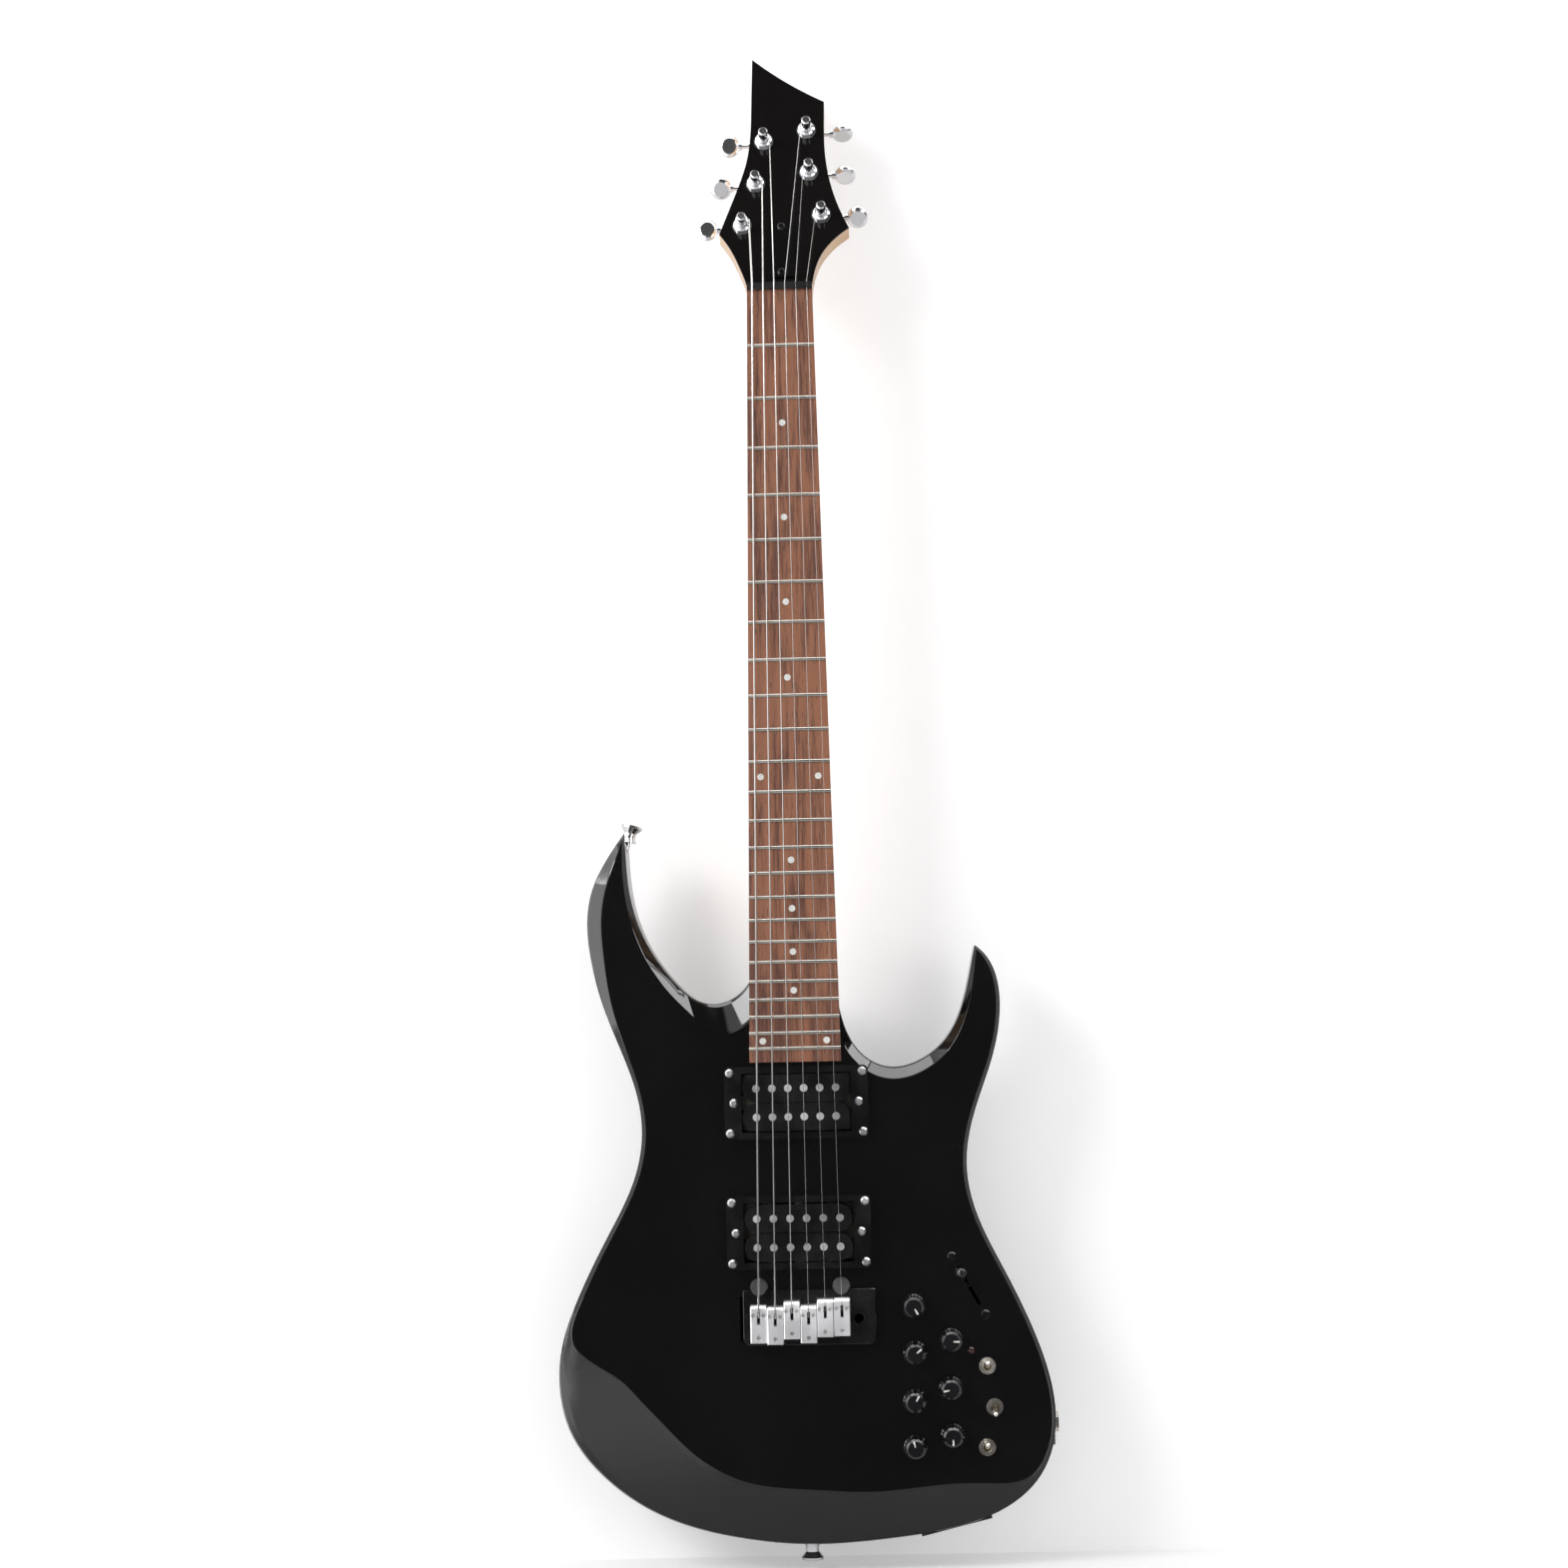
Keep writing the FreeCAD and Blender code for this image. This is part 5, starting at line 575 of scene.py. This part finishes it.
DRESSINGS = (
    Dressing(Gloss("body_lacquer"), ("body",)),
    Dressing(Gloss("headstock_lacquer", colour=(0.004, 0.0032, 0.003), dust=0.08), ("headstock_veneer",)),
    Dressing(Gloss("polished_trim", roughness=0.10, peel_mm=0.002, coat=0.0),
             ("truss_rod_cover", "selector_lever")),
    Dressing(Gloss("nut_graphite", colour=(0.010, 0.010, 0.010), roughness=0.24, coat=0.0), ("nut",)),
    Dressing(Gloss("knob_black", colour=(0.006, 0.006, 0.007), roughness=0.13, coat=0.2),
             numbered("knob", 7)),
    Dressing(Gloss("lens_red", colour=(0.022, 0.003, 0.003), roughness=0.12), ("indicator_light",)),
    Dressing(Wood("rosewood_board", Timber.ROSEWOOD), ("fretboard",)),
    Dressing(Wood("maple_neck", Timber.MAPLE, roughness=0.34, pore_mm=0.01, coat=0.5), ("neck",)),
    Dressing(Pearl("white_dots"), ("inlay_dots",)),
    Dressing(Metal("fret_wire", Plating.FRET_NICKEL), ("frets",)),
    Dressing(Metal("satin_chrome", Plating.SATIN_CHROME, brush_mm=0.001, tarnish=0.05), ("saddles",)),
    Dressing(Metal("bright_chrome", Plating.CHROME, brush_mm=0.0006, tarnish=0.05),
             ("trem_studs", "strap_buttons", "neck_plate", "tuner_housings", "tuner_bushings",
              *numbered("tuner_post", 6), *numbered("tuner_key", 6))),
    Dressing(Metal("warm_nickel", Plating.WARM_NICKEL, tarnish=0.10),
             ("toggle_switches", "output_jack", *numbered("toggle_lever", 3))),
    Dressing(Metal("zinc_screws", Plating.ZINC),
             ("saddle_screws", "pickup_poles", "pickup_screws", "neck_screws", "small_screws")),
    Dressing(Metal("bare_steel", Plating.STEEL, brush_mm=0.006, tarnish=0.4),
             ("trem_block", "trem_springs", "spring_claw", "truss_rod", "pots", "selector_switch")),
    # The baseplates' dark colour is painted shade, standing in for the shade under the pickups.
    Dressing(Metal("nickel_silver", Plating.NICKEL_SILVER, tarnish=0.3), ("pickup_baseplates",)),
    Dressing(Wire("string_wire"), ("strings", "string_tails")),
    Dressing(Moulded("black_plate", colour=(0.003, 0.003, 0.0035), roughness=0.16, grain_mm=0.003,
                     dust=0.1), ("trem_plate",)),
    Dressing(Moulded("ring_satin", colour=(0.003, 0.003, 0.0033), roughness=0.17, grain_mm=0.006,
                     dust=0.12), ("pickup_rings",)),
    Dressing(Moulded("bobbin_satin", colour=(0.004, 0.004, 0.0045), roughness=0.15, grain_mm=0.004,
                     dust=0.15), ("pickup_bobbins",)),
    Dressing(Moulded("cover_sheet", roughness=0.40, grain_mm=0.03), ("cover_plates",)),
    Dressing(Laminate("circuit_laminate"), ("circuit_board",)),
)


def new_piece(name: str, mesh: bmesh.types.BMesh, body: str,
              material: bpy.types.Material) -> None:
    """Turns a bmesh into a piece that rides on a body.

    Args:
        name: the piece's name.
        mesh: the finished bmesh, in the frame's place; it is freed.
        body: the body that it rides on.
        material: its material.
    """
    data = bpy.data.meshes.new(name)
    bmesh.ops.recalc_face_normals(mesh, faces=mesh.faces)
    mesh.to_mesh(data)
    mesh.free()
    data.materials.append(material)
    made = bpy.data.objects.new(name, data)
    bpy.context.scene.collection.objects.link(made)
    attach(made, body)
    LOG.info("%s rides on %s", name, body)


@dataclass(frozen=True)
class BlackenedScrews:
    """Screws of a node that are black instead of bright, chosen by the box that they stand in."""

    node: str
    low: Triple
    high: Triple

    def apply(self, material: bpy.types.Material) -> None:
        """Gives the faces inside the box the black finish.

        Args:
            material: the black finish.
        """
        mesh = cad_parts[self.node].data
        mesh.materials.append(material)
        for face in mesh.polygons:
            if all(a <= c <= b for a, c, b in zip(self.low, face.center, self.high)):
                face.material_index = 1


BLACKENED = (
    BlackenedScrews("small_screws", (-0.012, -0.02, 0.001), (0.013, 0.012, 0.056)),
    BlackenedScrews("selector_switch", (0.08, -0.01, -0.67), (0.13, 0.0005, -0.60)),
)


@dataclass
class KnobPointers:
    """The white line let into the top and edge of each knob."""

    spots: tuple[Triple, ...] = (
        (70.7, -647.8, 150.0), (71.0, -676.7, 50.0), (93.6, -669.3, 90.0), (70.3, -706.4, 30.0),
        (92.8, -698.8, 260.0), (70.0, -734.6, 345.0), (93.2, -727.9, 180.0))
    top_mm: float = -15.2
    proud_mm: float = 0.11
    sunk_mm: float = 0.5
    inner_mm: float = 1.2
    outer_mm: float = 4.9
    width_mm: float = 1.25
    edge_mm: float = 0.1
    inner_share: float = 0.55

    def line(self, x: float, z: float, turn: float) -> bmesh.types.BMesh:
        """One pointer line, tapered towards the middle of the knob.

        Args:
            x: the knob's X in millimetres.
            z: the knob's Z in millimetres.
            turn: how far the pointer is turned clockwise from up, in degrees.

        Returns:
            The line's mesh in place.
        """
        mesh = bmesh.new()
        bmesh.ops.create_cube(mesh, size=1.0)
        length = self.outer_mm - self.inner_mm
        depth = self.proud_mm + self.sunk_mm
        bmesh.ops.scale(mesh, vec=(self.width_mm, depth, length), verts=mesh.verts)
        narrow = [v for v in mesh.verts if v.co.z < 0]
        bmesh.ops.scale(mesh, vec=(self.inner_share, 1, 1), verts=narrow)
        bmesh.ops.bevel(mesh, geom=mesh.edges, offset=self.edge_mm, segments=2, profile=0.5,
                        affect="EDGES", material=-1)
        bmesh.ops.translate(mesh, vec=(0, self.top_mm - self.proud_mm + depth / 2,
                                       (self.outer_mm + self.inner_mm) / 2), verts=mesh.verts)
        turned = Matrix.Rotation(math.radians(turn), 4, "Y")
        place = Matrix.Scale(MM, 4) @ Matrix.Translation((x, 0, z)) @ turned
        bmesh.ops.transform(mesh, matrix=place, verts=mesh.verts)
        return mesh

    def build(self, material: bpy.types.Material) -> None:
        """Builds the pointers, each on its own knob's body.

        Args:
            material: the white finish.
        """
        for index, (x, z, turn) in enumerate(self.spots, 1):
            new_piece(f"pointer_{index}", self.line(x, z, turn), f"control_{index}", material)


@dataclass
class BendingParts:
    """Strings and springs: merged copies that take the place of the frame's nodes, which are hidden."""

    spans: tuple[tuple[str, float, float, float, str], ...] = (
        ("strings", -0.0105, -0.628, -0.6445, "string_steel"),
        ("trem_springs", 0.029, -0.580, -0.640, "spring_steel"))
    merge_m: float = 0.000001

    def build(self) -> None:
        """Builds a merged copy of each in the frame's place and hides the original node."""
        for node, y, start, end, slot in self.spans:
            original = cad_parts[node]
            data = original.data.copy()
            mesh = bmesh.new()
            mesh.from_mesh(data)
            bmesh.ops.remove_doubles(mesh, verts=mesh.verts, dist=self.merge_m)
            mesh.to_mesh(data)
            mesh.free()
            made = bpy.data.objects.new(f"{node}_bending", data)
            bpy.context.scene.collection.objects.link(made)
            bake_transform(made)
            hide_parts(node)
            LOG.info("%s bends with the tremolo", made.name)


@dataclass(frozen=True)
class Lamp:
    """A soft rectangular lamp; one that is sheen only lights no matt surface."""

    name: str
    at: Triple
    aim: Triple
    size: tuple[float, float]
    power: float
    sheen_only: bool = False

    def build(self) -> None:
        """Sets the lamp up."""
        data = bpy.data.lights.new(self.name, "AREA")
        data.shape = "RECTANGLE"
        data.size, data.size_y = self.size
        data.energy = self.power
        made = bpy.data.objects.new(self.name, data)
        turned = (Vector(self.aim) - Vector(self.at)).to_track_quat("-Z", "Y").to_matrix().to_4x4()
        made.matrix_world = Matrix.Translation(self.at) @ turned
        made.visible_diffuse = not self.sheen_only
        bpy.context.scene.collection.objects.link(made)


LAMPS = (
    Lamp("key", (-1.7, -1.5, 0.8), (0, 0, -0.4), (1.0, 1.0), 34.0),
    Lamp("fill", (1.6, -1.9, -0.2), (0, 0, -0.4), (1.2, 1.2), 9.0),
    Lamp("rim", (-0.6, 1.8, 0.9), (0, 0.04, -0.4), (1.0, 1.0), 14.0),
    Lamp("overhead", (0.0, -0.45, 1.5), (0, -0.1, -0.4), (2.6, 0.8), 30.0, True),
    Lamp("right_strip", (1.5, -0.4, 0.75), (0, 0, -0.4), (0.6, 1.0), 14.0, True),
)


@dataclass(frozen=True)
class Zone:
    """A part of the surroundings that gloss mirrors: full at one direction, gone at another."""

    axis: str
    full: float
    gone: float
    level: float

    def wire(self, tree: Tree, way: bpy.types.NodeOutputs) -> Socket:
        """Wires the zone's brightness.

        Args:
            tree: the world's tree.
            way: the direction looked in, as separate X, Y and Z.

        Returns:
            The brightness socket.
        """
        if self.full < self.gone:
            return tree.span(way[self.axis], self.full, self.gone, self.level, 0.0)
        return tree.span(way[self.axis], self.gone, self.full, 0.0, self.level)


@dataclass
class Studio:
    """Camera, pale floor and backdrop, soft lights and plain surroundings."""

    eye: Triple = (0.046, -1.8986, -0.4915)
    forward: Triple = (-0.02607, 0.99553, 0.09080)
    up: Triple = (0.02260, -0.09022, 0.99567)
    lens_mm: float = 68.8
    sensor_mm: float = 36.0
    wall_y: float = 0.075
    floor_z: float = -0.8125
    half_width: float = 2.4
    wall_height: float = 2.2
    floor_depth: float = 2.6
    clip_start: float = 0.05
    clip_end: float = 50.0
    paper_level: float = 0.80
    paper_glow: float = 0.34
    mirrored_glow: float = 0.2
    fibre_scale: float = 900.0
    fibre_shade: float = 0.97
    clear_floor: tuple[float, float] = (-0.20, -0.05)
    left: Zone = Zone("X", -0.26, -0.15, 1.25)
    far_left: Zone = Zone("X", -0.85, -0.55, 2.4)
    below: Zone = Zone("Z", -0.40, -0.24, 0.62)
    above: Zone = Zone("Z", 0.82, 0.72, 1.0)
    behind: Zone = Zone("Y", 0.10, -0.10, 0.75)
    front_level: float = 0.085
    matt_level: float = 0.62
    sky: Triple = (1.0, 0.985, 1.0)

    def camera(self) -> None:
        """Sets the camera: a long lens in front, level with the lower body, looking slightly up."""
        data = bpy.data.cameras.new("view")
        data.lens = self.lens_mm
        data.sensor_width = self.sensor_mm
        data.clip_start = self.clip_start
        data.clip_end = self.clip_end
        made = bpy.data.objects.new("view", data)
        ahead = Vector(self.forward).normalized()
        right = ahead.cross(Vector(self.up)).normalized()
        over = right.cross(ahead)
        turned = Matrix((right, over, -ahead)).transposed().to_4x4()
        made.matrix_world = Matrix.Translation(self.eye) @ turned
        bpy.context.scene.collection.objects.link(made)
        bpy.context.scene.camera = made

    def paper(self, name: str) -> bpy.types.Material:
        """Pale matt paper, seen from its front only.

        Args:
            name: the material's name.

        Returns:
            The material.
        """
        made = bpy.data.materials.new(name)
        made.use_nodes = True
        made.node_tree.nodes.clear()
        tree = Tree(made.node_tree)
        fibre = tree.noise(tree.stretched(), self.fibre_scale, 3.0)
        pale = self.paper_level
        shade = tree.mix(fibre, (pale,) * 3, (pale * self.fibre_shade,) * 3)
        matt = tree.node("BsdfDiffuse", None, color=shade)
        rays = tree.node("LightPath").outputs
        mirrored = tree.math("MULTIPLY", rays["Is Glossy Ray"], self.mirrored_glow)
        seen = tree.math("MAXIMUM", rays["Is Camera Ray"], mirrored)
        shown = tree.math("MULTIPLY", tree.math("MAXIMUM", seen, rays["Is Transmission Ray"]),
                          self.paper_glow)
        light = tree.node("Emission", None, color=(1.0, 1.0, 1.0), strength=shown)
        lit = tree.node("AddShader", None, in0=matt.outputs[0], in1=light.outputs[0])
        clear = tree.node("BsdfTransparent")
        side = tree.node("NewGeometry").outputs["Backfacing"]
        place = tree.node("SeparateXYZ", None, vector=tree.node("TexCoord").outputs["Object"])
        ahead = tree.span(place.outputs["Y"], *self.clear_floor, 1.0, 0.0)
        away = tree.math("MAXIMUM", side, tree.math("MULTIPLY", ahead, rays["Is Glossy Ray"]))
        shader = tree.node("MixShader", None, fac=away, in1=lit.outputs[0], in2=clear.outputs[0])
        out = tree.node("OutputMaterial")
        tree.tree.links.new(shader.outputs[0], out.inputs["Surface"])
        return made

    def sheet(self, name: str, corners: Sequence[Triple], towards: Vector,
              material: bpy.types.Material) -> None:
        """One flat sheet of the set, facing a given way.

        Args:
            name: the sheet's name.
            corners: its four corners in order.
            towards: the direction its front faces.
            material: its material.
        """
        mesh = bmesh.new()
        face = mesh.faces.new([mesh.verts.new(c) for c in corners])
        face.normal_update()
        if face.normal.dot(towards) < 0:
            face.normal_flip()
        data = bpy.data.meshes.new(name)
        mesh.to_mesh(data)
        mesh.free()
        data.materials.append(material)
        made = bpy.data.objects.new(name, data)
        bpy.context.scene.collection.objects.link(made)

    def set(self) -> None:
        """Builds the floor and the backdrop."""
        wide, wall, floor = self.half_width, self.wall_y, self.floor_z
        self.sheet("backdrop", [(-wide, wall, floor), (wide, wall, floor), (wide, wall, self.wall_height),
                                (-wide, wall, self.wall_height)], Vector((0, -1, 0)),
                   self.paper("backdrop_paper"))
        self.sheet("floor", [(-wide, -self.floor_depth, floor), (wide, -self.floor_depth, floor),
                             (wide, self.floor_depth, floor), (-wide, self.floor_depth, floor)],
                   Vector((0, 0, 1)), self.paper("floor_paper"))

    def surroundings(self) -> None:
        """The world: white to the camera, soft to matt surfaces, darker in front to gloss."""
        world = bpy.data.worlds.new("surroundings")
        world.use_nodes = True
        world.node_tree.nodes.clear()
        tree = Tree(world.node_tree)
        rays = tree.node("LightPath").outputs
        way = tree.node("SeparateXYZ", None, vector=tree.node("TexCoord").outputs["Generated"]).outputs
        leftward = tree.math("ADD", self.left.wire(tree, way), self.far_left.wire(tree, way))
        mirrored = tree.math("MAXIMUM", leftward, self.front_level)
        for zone in (self.below, self.above, self.behind):
            mirrored = tree.math("MAXIMUM", mirrored, zone.wire(tree, way))
        sharp = tree.math("MAXIMUM", rays["Is Glossy Ray"], rays["Is Transmission Ray"])
        gloss = tree.math("MULTIPLY", sharp, mirrored)
        matt = tree.math("MULTIPLY", rays["Is Diffuse Ray"], self.matt_level)
        level = tree.math("MAXIMUM", rays["Is Camera Ray"], tree.math("MAXIMUM", gloss, matt))
        light = tree.node("Background", None, color=self.sky, strength=level)
        out = tree.node("OutputWorld")
        tree.tree.links.new(light.outputs[0], out.inputs["Surface"])
        bpy.context.scene.world = world

    def build(self) -> None:
        """Builds the whole set."""
        scene = bpy.context.scene
        scene.view_settings.view_transform = "Standard"
        self.camera()
        self.set()
        for lamp in LAMPS:
            lamp.build()
        self.surroundings()
        LOG.info("studio set")


def main() -> None:
    """Dresses the frame, adds the fine pieces and sets the studio."""
    logging.basicConfig(level=logging.INFO, format="%(name)s: %(message)s")
    materials = {dressing.finish.name: dressing.apply() for dressing in DRESSINGS}
    for screws in BLACKENED:
        screws.apply(materials["black_plate"])
    KnobPointers().build(materials["white_dots"])
    BendingParts().build()
    Studio().build()


if __name__ == "__main__":
    main()
